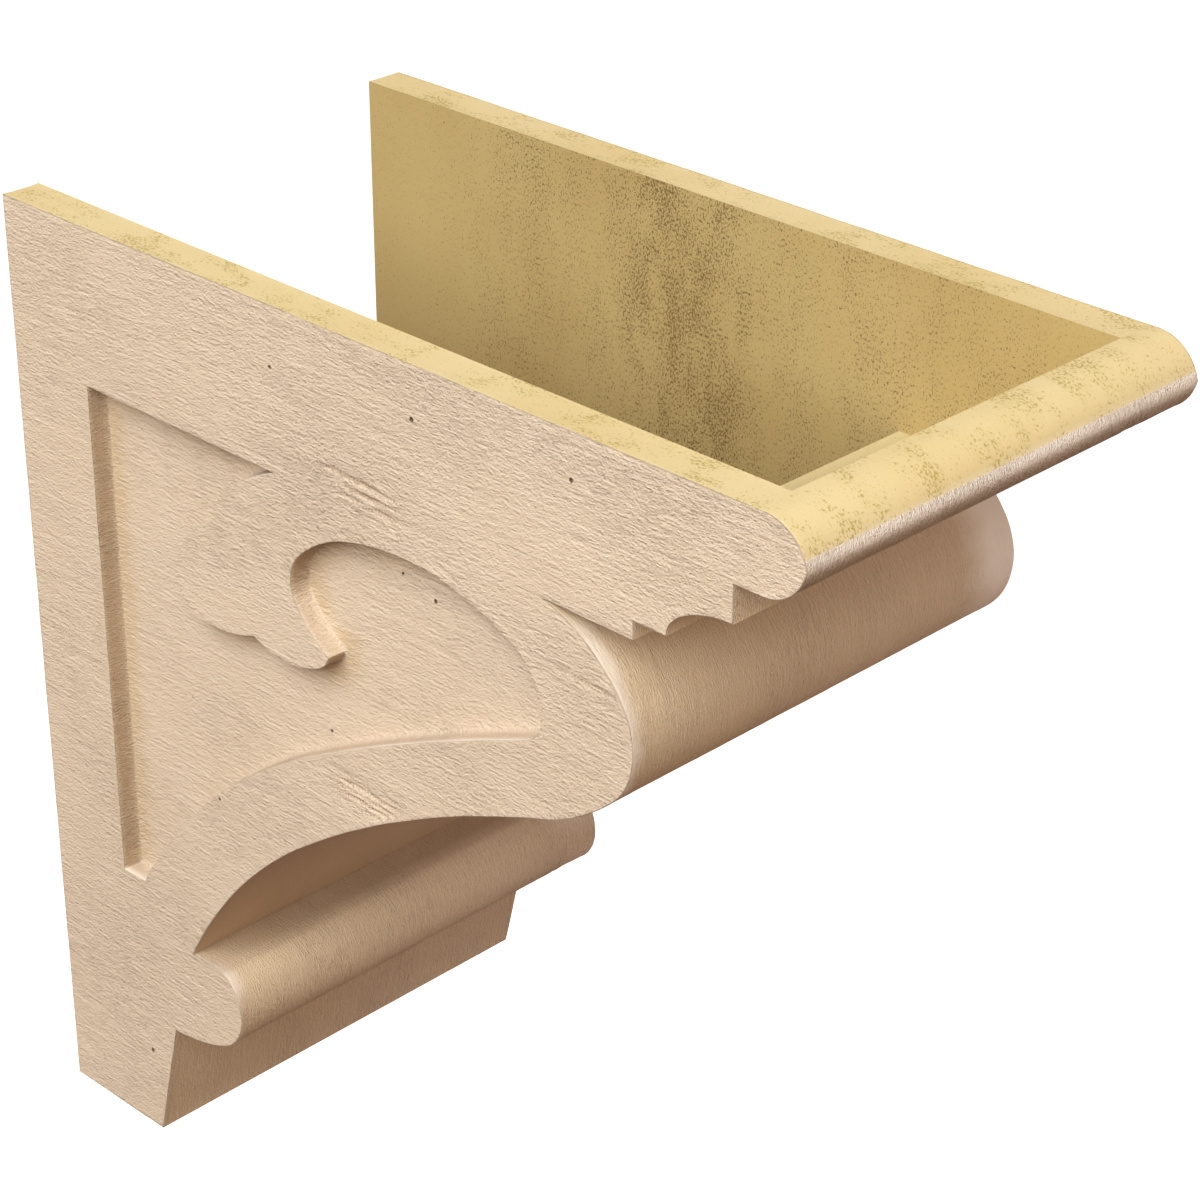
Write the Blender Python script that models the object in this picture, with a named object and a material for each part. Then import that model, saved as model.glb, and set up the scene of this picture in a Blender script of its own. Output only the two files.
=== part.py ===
"""Faux wood corbel: a hollow moulded bracket, open at the top and the back.

Units are metres, +Z up. The wall is the plane y = 0 and the corbel reaches out to -Y.
The origin is at the middle of the floor board's rear edge, where the corbel meets the wall.
Side views are drawn in inches as (depth, height): depth is measured out from the wall and
height up from the corbel's underside.
"""

import math

import bmesh
import bpy
from mathutils import Vector

INCH = 0.0254

# Overall sizes, in inches
WIDTH = 6.0
DEPTH = 12.0
HEIGHT = 12.0
WALL = 0.5
HALF_WIDTH = WIDTH / 2
HALF_HOLLOW = HALF_WIDTH - WALL
ORIGIN_HEIGHT = WALL / 2

# Block at the foot: its front leans out as it rises
FOOT_DEPTH = 1.71
BLOCK_TOP = (2.13, 1.70)
LEAN = (BLOCK_TOP[0] - FOOT_DEPTH) / BLOCK_TOP[1]

# Lower roll, and the long hollow curve above it, a tight bend that opens into a slack one
ROLL_TOP = 3.02
CURVE_FOOT = (2.57, ROLL_TOP)
CURVE_MIDDLE = (4.737, 5.484)
CURVE_END = (8.538, 7.489)
TIGHT_BEND = -7.50
SLACK_BEND = -15.0

# Scroll, the groove above it and the square steps of the top moulding
SOFFIT = 10.06
GROOVE_ROOT = (8.58, SOFFIT)
FILLET_DEPTH = 9.84
FILLET_TOP = 10.27
COVE_START = 10.27
COVE_END = 11.12
COVE_TOP = 10.71
BEAD_HEIGHT = 0.865
BEAD_START = 11.50
BEAD_UNDER = HEIGHT - BEAD_HEIGHT
BEAD_NOSE = (DEPTH, HEIGHT - BEAD_HEIGHT / 2)
BEAD_BEND = 0.55
BARE_BEAD_HEIGHT = 11.67

# Hollow between the cheeks: it follows the front, then opens over a ledge to the rim
HOLLOW_BEND_START = 2.30
LEDGE_BACK = 8.56
LEDGE_FRONT = 8.73
LEDGE_FOOT = 8.035
RIM_INNER = 11.36
RIM_DROP = 0.10
OVERCUT = 0.25

# Fill that thickens the groove's root between the cheeks, a little wider than the hollow
ROOT_FILL_BACK = 8.40
ROOT_FILL_FRONT = 9.10
ROOT_FILL_UNDER = 9.60
ROOT_FILL_TOP = 10.20
ROOT_FILL_HALF_WIDTH = HALF_HOLLOW + 0.1

# Sunk panel carved in each cheek
PANEL_DEPTH = 0.25
PANEL_BACK = 1.325
PANEL_FOOT = 3.67

# Arcs are drawn as straight facets. None turns by more than ARC_STEP. On a gentle arc they are
# also cut to about FACET_LENGTH inches, with at most FINEST_SPLIT of them to each ARC_STEP.
ARC_STEP = math.radians(7.0)
FACET_LENGTH = 0.30
FINEST_SPLIT = 3
FEWEST_FACETS = 2

# Neighbouring faces that meet at more than this angle keep a crisp edge
CRISP_ANGLE = math.radians(20.0)

# A face of the casting counts as facing up where its normal rises by at least this much
FACES_UP = 0.05


def arc_centre(start, end, radius):
    """Return the centre of the arc from start to end.

    It lies to the left of the way for a positive radius and to the right for a negative one.
    """
    start, end = Vector(start), Vector(end)
    chord = end - start
    half_angle = math.asin(chord.length / (2 * abs(radius)))
    left = Vector((-chord.y, chord.x)).normalized()
    return (start + end) / 2 + left * radius * math.cos(half_angle)


def arc(start, end, radius):
    """Return the points after start along the shorter arc to end, as ends of straight facets.

    A positive radius turns left on the way and a negative one turns right.
    """
    centre = arc_centre(start, end, radius)
    chord = Vector(end) - Vector(start)
    sweep = 2 * math.asin(chord.length / (2 * radius))
    by_angle = abs(sweep) / ARC_STEP
    by_length = abs(sweep * radius) / FACET_LENGTH
    count = math.ceil(max(by_angle, min(by_length, by_angle * FINEST_SPLIT)))
    count = max(count, FEWEST_FACETS)
    first = Vector(start) - centre
    points = []
    for step in range(1, count + 1):
        turn = sweep * step / count
        cos_turn = math.cos(turn)
        sin_turn = math.sin(turn)
        points.append((centre.x + first.x * cos_turn - first.y * sin_turn,
                       centre.y + first.x * sin_turn + first.y * cos_turn))
    return points


def path(start, *moves):
    """Return a run of points: each move is (end,) for a straight line or (end, radius) for an arc."""
    points = [start]
    for move in moves:
        end = move[0]
        points += arc(points[-1], end, move[1]) if len(move) == 2 else [end]
    return points


def one_wall_in(point, centre):
    """Return the point moved straight away from an arc's centre by one wall's thickness."""
    outward = Vector(point) - Vector(centre)
    return tuple(Vector(point) + outward.normalized() * WALL)


def cove_points():
    """Return the cove's points, a quarter ellipse that starts upright and ends level."""
    reach = COVE_END - COVE_START
    rise = COVE_TOP - FILLET_TOP
    count = math.ceil(math.pi / 2 / ARC_STEP)
    points = []
    for step in range(1, count + 1):
        angle = math.pi / 2 * step / count
        points.append((COVE_END - reach * math.cos(angle), FILLET_TOP + rise * math.sin(angle)))
    return points


def bead_points():
    """Return the rounded front edge's points, two equal arcs that meet at its nose."""
    return path(
        (BEAD_START, BEAD_UNDER),
        (BEAD_NOSE, BEAD_BEND),
        ((BEAD_START, HEIGHT), BEAD_BEND),
    )


def outer_profile():
    """Return the corbel's side outline, from the wall at the foot round to the wall at the top."""
    outline = path(
        (0.0, 0.0),
        ((FOOT_DEPTH, 0.0),),
        (BLOCK_TOP,),
        # lower roll: a long shallow underside, then round its nose and back level
        ((3.05, 1.92), 2.70),
        ((3.38, 2.745), 0.63),
        ((2.85, ROLL_TOP), 0.46),
        (CURVE_FOOT,),
        (CURVE_MIDDLE, TIGHT_BEND),
        (CURVE_END, SLACK_BEND),
        # scroll: round its nose, then over the top into the groove
        ((9.560, 8.111), 2.93),
        ((9.700, 9.281), 0.915),
        (GROOVE_ROOT, 1.83),
        # soffit and square fillet
        ((FILLET_DEPTH, SOFFIT),),
        ((FILLET_DEPTH, FILLET_TOP),),
        ((COVE_START, FILLET_TOP),),
    )
    outline += cove_points()
    outline.append((COVE_END, BEAD_UNDER))
    outline += bead_points()
    outline.append((0.0, HEIGHT))
    return outline


def hollow_profile():
    """Return the hollow's side outline, which runs past the corbel at the back and the top.

    Behind the block and the long curve it keeps one wall's thickness inside the outer outline,
    so the two bends keep their centres and their radii grow by a wall.
    """
    inner_foot = FOOT_DEPTH - WALL * math.hypot(1.0, LEAN)
    tight_centre = arc_centre(CURVE_FOOT, CURVE_MIDDLE, TIGHT_BEND)
    slack_centre = arc_centre(CURVE_MIDDLE, CURVE_END, SLACK_BEND)
    return path(
        (-OVERCUT, WALL),
        ((inner_foot + LEAN * WALL, WALL),),
        ((inner_foot + LEAN * HOLLOW_BEND_START, HOLLOW_BEND_START),),
        (one_wall_in(CURVE_FOOT, tight_centre),),
        (one_wall_in(CURVE_MIDDLE, tight_centre), TIGHT_BEND - WALL),
        (one_wall_in(CURVE_END, slack_centre), SLACK_BEND - WALL),
        ((LEDGE_BACK, LEDGE_FOOT),),
        ((LEDGE_BACK, SOFFIT),),
        ((LEDGE_FRONT, SOFFIT),),
        ((RIM_INNER, HEIGHT - RIM_DROP),),
        ((RIM_INNER, HEIGHT + OVERCUT),),
        ((-OVERCUT, HEIGHT + OVERCUT),),
    )


def panel_profile():
    """Return the sunk panel's outline; the leaf scroll is what it leaves standing at the right."""
    panel_top = SOFFIT
    cusp = (4.05, 7.915)
    beak = (5.31, 8.12)
    return path(
        (PANEL_BACK, PANEL_FOOT),
        ((PANEL_BACK, panel_top),),
        ((4.56, panel_top),),
        # back of the leaf scroll: a long upper lobe and a round lower one
        ((3.95, 9.765), 2.6),
        ((3.38, 9.05), 1.35),
        ((2.76, 8.33), 1.05),
        ((3.13, 7.785), 0.42),
        # underside of the leaf: two shallow lobes that meet in a cusp, then up into the beak
        (cusp, 1.68),
        ((5.136, 7.92), 1.30),
        (beak, 0.326),
        # inside of the curl, over the top and round its far end
        ((4.826, 8.550), -1.51),
        ((4.873, 9.177), -0.486),
        ((5.600, 9.617), -1.72),
        ((8.083, 9.419), -3.40),
        ((8.560, 8.800), -0.88),
        ((8.380, 8.360), -0.37),
        # long lower edge, which follows the corbel's own curve back to the foot
        ((4.630, 6.570), 29.0),
        ((1.720, 3.685), 8.60),
    )


def place(x, point):
    """Turn a side-view point at width x, all in inches, into a place in metres."""
    depth, height = point
    return Vector((x * INCH, -depth * INCH, (height - ORIGIN_HEIGHT) * INCH))


def prism(name, outline, x_from, x_to, material):
    """Make a closed object by carrying a side-view outline from one width to another."""
    shell = bmesh.new()
    rim = [shell.verts.new(place(x_from, point)) for point in outline]
    cap = shell.faces.new(rim)
    swept = bmesh.ops.extrude_face_region(shell, geom=[cap])["geom"]
    moved = [item for item in swept if isinstance(item, bmesh.types.BMVert)]
    bmesh.ops.translate(shell, verts=moved, vec=((x_to - x_from) * INCH, 0.0, 0.0))
    bmesh.ops.recalc_face_normals(shell, faces=shell.faces)
    mesh = bpy.data.meshes.new(name)
    shell.to_mesh(mesh)
    shell.free()
    mesh.materials.append(material)
    item = bpy.data.objects.new(name, mesh)
    bpy.context.collection.objects.link(item)
    return item


def combine(body, other, operation):
    """Add a live Boolean to the body and mark the other object as a guide."""
    cut = body.modifiers.new(other.name, "BOOLEAN")
    cut.operation = operation
    cut.solver = "EXACT"
    cut.material_mode = "TRANSFER"
    cut.object = other
    other.hide_render = True
    other.display_type = "WIRE"


def surface(name, colour, roughness):
    """Make a plain Principled material."""
    material = bpy.data.materials.new(name)
    material.use_nodes = True
    shader = material.node_tree.nodes["Principled BSDF"]
    shader.inputs["Base Color"].default_value = (*colour, 1.0)
    shader.inputs["Roughness"].default_value = roughness
    shader.inputs["Metallic"].default_value = 0.0
    return material


def bare_the_top(body, foam):
    """Give the top face and the upper half of the rounded edge the bare foam material."""
    body.data.materials.append(foam)
    foam_slot = len(body.data.materials) - 1
    bare_from = place(0.0, (0.0, BARE_BEAD_HEIGHT)).z
    for face in body.data.polygons:
        if face.normal.z > FACES_UP and face.center.z > bare_from:
            face.material_index = foam_slot


def settle(body, guides):
    """Keep the body's finished mesh, shade its round faces smooth and delete the guides."""
    view = bpy.context.evaluated_depsgraph_get()
    finished = bpy.data.meshes.new_from_object(body.evaluated_get(view))
    body.modifiers.clear()
    body.data = finished
    finished.name = body.name
    for guide in guides:
        bpy.data.objects.remove(guide)
    finished.shade_smooth()
    finished.set_sharp_from_angle(angle=CRISP_ANGLE)


def root_fill_profile():
    """Return the side outline of the block that fills the groove's root, a plain rectangle."""
    return [
        (ROOT_FILL_BACK, ROOT_FILL_UNDER),
        (ROOT_FILL_FRONT, ROOT_FILL_UNDER),
        (ROOT_FILL_FRONT, ROOT_FILL_TOP),
        (ROOT_FILL_BACK, ROOT_FILL_TOP),
    ]


def build_corbel():
    """Model the corbel as one cast piece."""
    primed = surface("primed_tan", (0.66, 0.49, 0.35), 0.80)
    foam = surface("bare_foam", (0.80, 0.62, 0.28), 0.85)

    body = prism("corbel", outer_profile(), -HALF_WIDTH, HALF_WIDTH, primed)
    bare_the_top(body, foam)

    fill_half = ROOT_FILL_HALF_WIDTH
    root_fill = prism("groove_root_fill", root_fill_profile(), -fill_half, fill_half, primed)
    combine(body, root_fill, "UNION")

    hollow = prism("hollow", hollow_profile(), -HALF_HOLLOW, HALF_HOLLOW, foam)
    combine(body, hollow, "DIFFERENCE")

    panels = []
    for side, name in ((-1, "panel_left"), (1, "panel_right")):
        inner = side * (HALF_WIDTH - PANEL_DEPTH)
        outer = side * (HALF_WIDTH + OVERCUT)
        panel = prism(name, panel_profile(), inner, outer, primed)
        combine(body, panel, "DIFFERENCE")
        panels.append(panel)

    settle(body, [root_fill, hollow, *panels])


for leftover in list(bpy.data.objects):
    bpy.data.objects.remove(leftover)
build_corbel()
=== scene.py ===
"""Looks of the faux wood corbel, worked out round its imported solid.

Lengths are inches until they reach a mesh, which holds metres. A side view is (depth, height):
depth is measured out from the wall and height up from the corbel's underside. Width runs from
-3 at the left cheek to +3 at the right one. Relief is always sunk into the casting, so the
finished surface stays inside the solid's box.
"""

import logging
import math
from dataclasses import dataclass
from enum import Enum

import bmesh
import bpy
import numpy as np
from mathutils import Euler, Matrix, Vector
from mathutils.geometry import delaunay_2d_cdt

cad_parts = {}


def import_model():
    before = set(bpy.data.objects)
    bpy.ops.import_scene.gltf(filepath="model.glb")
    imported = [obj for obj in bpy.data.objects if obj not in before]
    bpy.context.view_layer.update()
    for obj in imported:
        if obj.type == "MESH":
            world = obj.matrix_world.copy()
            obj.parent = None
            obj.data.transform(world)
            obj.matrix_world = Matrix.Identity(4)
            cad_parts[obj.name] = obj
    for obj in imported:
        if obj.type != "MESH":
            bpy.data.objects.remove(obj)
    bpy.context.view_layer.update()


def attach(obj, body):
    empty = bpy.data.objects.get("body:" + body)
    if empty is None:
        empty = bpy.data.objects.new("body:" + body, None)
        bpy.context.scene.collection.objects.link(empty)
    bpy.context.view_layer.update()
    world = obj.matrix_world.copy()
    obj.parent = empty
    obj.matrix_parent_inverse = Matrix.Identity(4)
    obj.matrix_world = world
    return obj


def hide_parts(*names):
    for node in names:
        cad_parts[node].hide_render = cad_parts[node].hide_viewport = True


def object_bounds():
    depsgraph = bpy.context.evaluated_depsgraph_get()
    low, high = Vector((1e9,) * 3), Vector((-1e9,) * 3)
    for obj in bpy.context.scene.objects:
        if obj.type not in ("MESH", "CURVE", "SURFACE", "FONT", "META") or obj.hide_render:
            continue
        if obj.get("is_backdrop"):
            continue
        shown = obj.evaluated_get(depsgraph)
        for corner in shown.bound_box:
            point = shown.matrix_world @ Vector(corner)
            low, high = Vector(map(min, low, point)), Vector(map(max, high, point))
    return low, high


Array = np.ndarray
Point = tuple[float, float]
Pair = tuple[float, float]
Box = tuple[Point, Point]
Colour = tuple[float, float, float]

INCH = 0.0254
CASTING_NODE = "corbel"
BODY = "root"

LOG = logging.getLogger("corbel")


class Finish(Enum):
    """The finishes on the casting, numbered as its material slots are."""

    PRIMED = 0
    RIM_FOAM = 1
    INNER_FOAM = 2


class Cut(Enum):
    """How one layer of relief is cut into the surface."""

    LUMPS = "lumps"
    FURROWS = "furrows"
    NICKS = "nicks"


class Side(Enum):
    """The two cheeks, with the sign of the width they stand at."""

    LEFT = -1
    RIGHT = 1


# Noise and relief


COLUMN_FACTOR = 73856093
ROW_FACTOR = 19349663
SEED_FACTOR = 83492791
MIXING_FACTOR = 1274126177
LOW_SIXTEEN_BITS = 0xFFFF
OCTAVE_SEED_STEP = 17
SWAY_SEED_STEP = 5
PATCH_SEED_STEP = 9


def lattice_value(column: Array, row: Array, seed: int) -> Array:
    """Return a fixed random number from -1 to 1 for each whole-number lattice point.

    The two coordinates and the seed are each multiplied by a large odd number and mixed bit by
    bit, and the low sixteen bits of the result are read as a fraction.
    """
    key = (column * COLUMN_FACTOR) ^ (row * ROW_FACTOR) ^ (seed * SEED_FACTOR)
    key = (key ^ (key >> 13)) * MIXING_FACTOR
    key = key ^ (key >> 16)
    return (key & LOW_SIXTEEN_BITS) / (LOW_SIXTEEN_BITS / 2) - 1.0


def eased(part: Array) -> Array:
    """Return six t to the fifth, less fifteen t to the fourth, plus ten t cubed."""
    return part**3 * (part * (part * 6 - 15) + 10)


def smooth_noise(u: Array, v: Array, seed: int) -> Array:
    """Return a smooth random height from about -1 to 1 at each place (u, v).

    The values of the four lattice points round a place are mixed with eased weights, which
    start and end level.
    """
    column = np.floor(u).astype(np.int64)
    row = np.floor(v).astype(np.int64)
    weight_u = eased(u - column)
    weight_v = eased(v - row)
    near = lattice_value(column, row, seed) * (1 - weight_u)
    near = near + lattice_value(column + 1, row, seed) * weight_u
    far = lattice_value(column, row + 1, seed) * (1 - weight_u)
    far = far + lattice_value(column + 1, row + 1, seed) * weight_u
    return near * (1 - weight_v) + far * weight_v


def layered_noise(u: Array, v: Array, seed: int, octaves: int) -> Array:
    """Return noise summed over octaves, each twice as fine and half as strong as the last."""
    total = np.zeros_like(u, dtype=float)
    strength = 1.0
    for octave in range(octaves):
        scale = 2.0**octave
        total += strength * smooth_noise(u * scale, v * scale, seed + OCTAVE_SEED_STEP * octave)
        strength *= 0.5
    return total / (2.0 - 2.0 * strength)


def smoothstep(value: Array, low: float, high: float) -> Array:
    """Return 0 below low, 1 above high and a level-ended rise between them."""
    part = np.clip((value - low) / (high - low), 0.0, 1.0)
    return part * part * (3 - 2 * part)


@dataclass(frozen=True)
class Relief:
    """One layer of the casting's unevenness.

    Along, across, depth and the patches' size are inches. The other fields are shares of the
    noise: a furrow's width, where nicks begin and end, how far the grain sways and where the
    smoother patches start and are full.
    """

    along: float
    across: float
    depth: float
    seed: int
    cut: Cut = Cut.LUMPS
    octaves: int = 2
    patchy: float = 0.0
    furrow_width: float = 0.22
    nick_start: float = 0.38
    nick_range: float = 0.4
    sway: float = 0.35
    sway_stretch: Pair = (2.7, 5.0)
    patch_size: Pair = (1.9, 1.3)
    patch_edge: Pair = (-0.25, 0.45)

    def sunk(self, u: Array, v: Array) -> Array:
        """Return how deep the layer is sunk at each place.

        Lumps follow the noise itself. Furrows are deepest where the noise passes through zero,
        so they wind on along the grain. Nicks are only the lowest tenth or so of the noise.

        Args:
            u: place along the grain.
            v: place across the grain.

        Returns:
            Depths from zero to about the layer's own depth.
        """
        slow_u = u / (self.along * self.sway_stretch[0])
        slow_v = v / (self.across * self.sway_stretch[1])
        sway = self.sway * smooth_noise(slow_u, slow_v, self.seed + SWAY_SEED_STEP)
        noise = layered_noise(u / self.along, v / self.across + sway, self.seed, self.octaves)
        if self.cut is Cut.LUMPS:
            shape = 0.5 + 0.5 * noise
        elif self.cut is Cut.FURROWS:
            shape = np.clip(1 - np.abs(noise) / self.furrow_width, 0.0, 1.0)
        else:
            shape = np.clip((-noise - self.nick_start) / self.nick_range, 0.0, 1.0)
        if self.patchy > 0.0:
            patch = smooth_noise(u / self.patch_size[0] + self.seed, v / self.patch_size[1],
                                 self.seed + PATCH_SEED_STEP)
            shape = shape * (1 - self.patchy * smoothstep(patch, *self.patch_edge))
        return self.depth * shape


def brickwork(low: Point, high: Point, pitch: Pair) -> Array:
    """Return points in rows between two corners, every other row moved on by half a pitch."""
    across = np.arange(low[1], high[1], pitch[1])
    along = np.arange(low[0], high[0], pitch[0])
    u, v = np.meshgrid(along, across)
    u = u + (np.arange(len(across)) % 2)[:, None] * pitch[0] / 2
    return np.stack((u.ravel(), v.ravel()), 1)


@dataclass(frozen=True)
class Gouge:
    """A few parallel grooves left by the saw, in an oval patch with soft ends, in inches.

    Pitch is the spacing of the mesh's own points in it, and margin the strip round it that they
    keep clear. The wobble bends the grooves, and the strokes break them up along their length.
    """

    place: Point
    length: float
    height: float
    depth: float
    grooves: float
    tilt: float = 0.0
    pitch: Pair = (0.045, 0.021)
    margin: Pair = (0.04, 0.03)
    wobble: float = 0.9
    wobble_size: Pair = (0.30, 0.12)
    wobble_seed: int = 61
    stroke_size: Pair = (0.30, 0.09)
    stroke_shift: float = 7.0
    stroke_edge: Pair = (-0.9, -0.1)
    stroke_seed: int = 67

    def brickwork(self) -> Array:
        """Return the closely set points that the mesh needs to hold the grooves."""
        reach = (self.length / 2, self.height / 2)
        u, v = brickwork((-reach[0], -reach[1]), reach, self.pitch).T
        return np.stack((u, v + self.tilt * u), 1) + self.place

    def holds(self, points: Array) -> Array:
        """Return whether each point lies in the gouge's own slanted box or close round it."""
        away_u = points[:, 0] - self.place[0]
        away_v = points[:, 1] - self.place[1] - self.tilt * away_u
        near_u = np.abs(away_u) < self.length / 2 + self.margin[0]
        return near_u & (np.abs(away_v) < self.height / 2 + self.margin[1])

    def sunk(self, u: Array, v: Array) -> Array:
        """Return how deep the grooves are sunk at each place.

        The patch falls off with the fourth power of the distance in each of its two directions.
        Inside it the grooves are a raised cosine to the fourth power across the grain, which
        makes them narrower than the ridges between them, and they fade in and out along it.

        Args:
            u: place along the grain.
            v: place across the grain.

        Returns:
            Depths from zero to the gouge's own depth.
        """
        away_u = (u - self.place[0]) / (self.length / 2)
        away_v = (v - self.place[1] - self.tilt * (u - self.place[0])) / (self.height / 2)
        wobble = self.wobble * smooth_noise(u / self.wobble_size[0], v / self.wobble_size[1],
                                            self.wobble_seed)
        patch = np.exp(-(away_u**4) - away_v**4)
        wave = 0.5 + 0.5 * np.cos(math.pi * self.grooves * away_v + wobble)
        broken = smooth_noise(u / self.stroke_size[0] + self.stroke_shift, v / self.stroke_size[1],
                              self.stroke_seed)
        return self.depth * patch * wave**4 * smoothstep(broken, *self.stroke_edge)


@dataclass(frozen=True)
class Pinhole:
    """A small round air hole in the cast surface, in inches, darkened inside as painted shade.

    The reaches are in radii. Circles are the rings of points that the mesh needs to hold the
    hole, each with its count and reach.
    """

    place: Point
    radius: float = 0.028
    depth: float = 0.06
    flat_reach: float = 0.5
    dark_reach: float = 1.4
    clear_reach: float = 2.1
    circles: tuple[tuple[int, float], ...] = ((6, 0.6), (9, 1.0), (10, 1.4))

    def away(self, points: Array) -> Array:
        """Return each point's distance from the hole's middle, in radii."""
        return np.hypot(*(points - self.place).T) / self.radius

    def rings(self) -> Array:
        """Return the hole's middle and the points of its circles."""
        rings = [np.zeros((1, 2))]
        for count, reach in self.circles:
            angles = 2 * math.pi * np.arange(count) / count
            rings.append(self.radius * reach * np.stack((np.cos(angles), np.sin(angles)), 1))
        return np.vstack(rings) + self.place

    def sunk(self, points: Array) -> Array:
        """Return how deep the hole is at each point: full at its middle, nothing at its rim."""
        return self.depth * (1 - smoothstep(self.away(points), self.flat_reach, 1.0))

    def dark(self, points: Array) -> Array:
        """Return the hole's painted shade: 1 inside its rim, falling to 0 a little way out from it.
        """
        return 1 - smoothstep(self.away(points), 1.0, self.dark_reach)


# Outlines


FOLD_LIMIT = -0.6
ALMOST_LEVEL = 1e-12
ON_THE_LINE = 1e-9
TOUCHING = 1e-7
NO_AREA = 1e-6


def straight_run(start: Point, end: Point, step: float) -> Array:
    """Return the points after start along a straight line, about a step apart."""
    first, last = np.asarray(start, float), np.asarray(end, float)
    count = max(1, round(float(np.hypot(*(last - first))) / step))
    share = np.arange(1, count + 1)[:, None] / count
    return first + (last - first) * share


def arc_centre(start: Point, end: Point, radius: float) -> Array:
    """Return an arc's centre, to the left of the way for a positive radius."""
    first, last = np.asarray(start, float), np.asarray(end, float)
    chord = last - first
    length = float(np.hypot(*chord))
    half_angle = math.asin(length / (2 * abs(radius)))
    left = np.array((-chord[1], chord[0])) / length
    return (first + last) / 2 + left * radius * math.cos(half_angle)


def arc_run(start: Point, end: Point, radius: float, step: float) -> Array:
    """Return the points after start along the shorter arc to end, about a step apart.

    Each point is the start turned about the arc's centre by an even share of the sweep.
    """
    centre = arc_centre(start, end, radius)
    length = math.dist(start, end)
    sweep = 2 * math.asin(length / (2 * radius))
    count = max(2, round(abs(sweep * radius) / step))
    turn = sweep * np.arange(1, count + 1) / count
    first = np.asarray(start, float) - centre
    turned = (first[0] * np.cos(turn) - first[1] * np.sin(turn),
              first[0] * np.sin(turn) + first[1] * np.cos(turn))
    return centre + np.stack(turned, 1)


def run(start: Point, moves: list[tuple], step: float) -> Array:
    """Return the points after start along lines and arcs.

    Args:
        start: where the run begins.
        moves: each (end,) for a straight line or (end, radius) for an arc.
        step: how far apart the points are, about.

    Returns:
        The points, without the start.
    """
    pieces = []
    here = start
    for move in moves:
        if len(move) == 2:
            pieces.append(arc_run(here, move[0], move[1], step))
        else:
            pieces.append(straight_run(here, move[0], step))
        here = move[0]
    return np.vstack(pieces)


def inward_normals(loop: Array) -> Array:
    """Return, for a closed loop that runs anticlockwise, the step in at each point.

    It is the sum of the two neighbouring edges' left-hand normals, scaled so that a point
    moved by one times it leaves both edges by one. At a tight fold the scale is held back.
    """
    edge = np.roll(loop, -1, axis=0) - loop
    normal = np.stack((-edge[:, 1], edge[:, 0]), 1) / np.hypot(edge[:, 0], edge[:, 1])[:, None]
    before = np.roll(normal, 1, axis=0)
    overlap = np.maximum((before * normal).sum(1), FOLD_LIMIT)
    return (before + normal) / (1 + overlap)[:, None]


def corner_gaps(loop: Array, sharp: float = 25.0) -> Array:
    """Return each point's straight distance to the nearest corner of a closed loop.

    A corner is a point where the way turns by more than a sharp angle, in degrees.
    """
    edge = np.roll(loop, -1, axis=0) - loop
    before = np.roll(edge, 1, axis=0)
    cross = before[:, 0] * edge[:, 1] - before[:, 1] * edge[:, 0]
    turn = np.degrees(np.abs(np.arctan2(cross, (before * edge).sum(1))))
    corners = loop[turn > sharp]
    away = loop[:, None, :] - corners
    return np.sqrt((away**2).sum(2)).min(1)


def length_along(points: Array) -> Array:
    """Return each point's distance from the first one along the run."""
    steps = np.hypot(*(points[1:] - points[:-1]).T)
    return np.concatenate(([0.0], np.cumsum(steps)))


def blocks(count: int, size: int = 1500) -> list[slice]:
    """Return slices that cover a long array a block at a time."""
    return [slice(first, min(first + size, count)) for first in range(0, count, size)]


def within(line: Array, low: Point, high: Point) -> Array:
    """Return whether each point of a side view lies in the box between two corners."""
    return ((line > low) & (line < high)).all(1)


def inside(points: Array, loop: Array) -> Array:
    """Return whether each point lies inside a closed loop.

    A level ray from an inside point crosses the loop an odd number of times.
    """
    start, end = loop, np.roll(loop, -1, axis=0)
    rise = end[:, 1] - start[:, 1]
    rise = np.where(rise == 0.0, ALMOST_LEVEL, rise)
    found = np.zeros(len(points), bool)
    for block in blocks(len(points)):
        u = points[block, 0][:, None]
        v = points[block, 1][:, None]
        spans = (start[:, 1] > v) != (end[:, 1] > v)
        crossing = start[:, 0] + (end[:, 0] - start[:, 0]) * (v - start[:, 1]) / rise
        found[block] = (spans & (u < crossing)).sum(1) % 2 == 1
    return found


def clearance(points: Array, loop: Array) -> Array:
    """Return each point's distance to the nearest edge of a closed loop.

    The nearest place on an edge is the point's own shadow on it, held between its two ends.
    """
    start = loop
    edge = np.roll(loop, -1, axis=0) - loop
    squared = (edge**2).sum(1)
    nearest = np.empty(len(points))
    for block in blocks(len(points)):
        away = points[block][:, None, :] - start
        share = np.clip((away * edge).sum(2) / squared, 0.0, 1.0)
        gap = away - share[:, :, None] * edge
        nearest[block] = np.sqrt((gap**2).sum(2).min(1))
    return nearest


# Patches of the skin


# Tones the mesh holds: painted shade; rubbed wear with painted light; painted warm light and shade,
# or grit density on the bare inner face; and crumbliness.
TONES = ("sunk", "worn_and_lit", "warm", "coarse")


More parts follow.
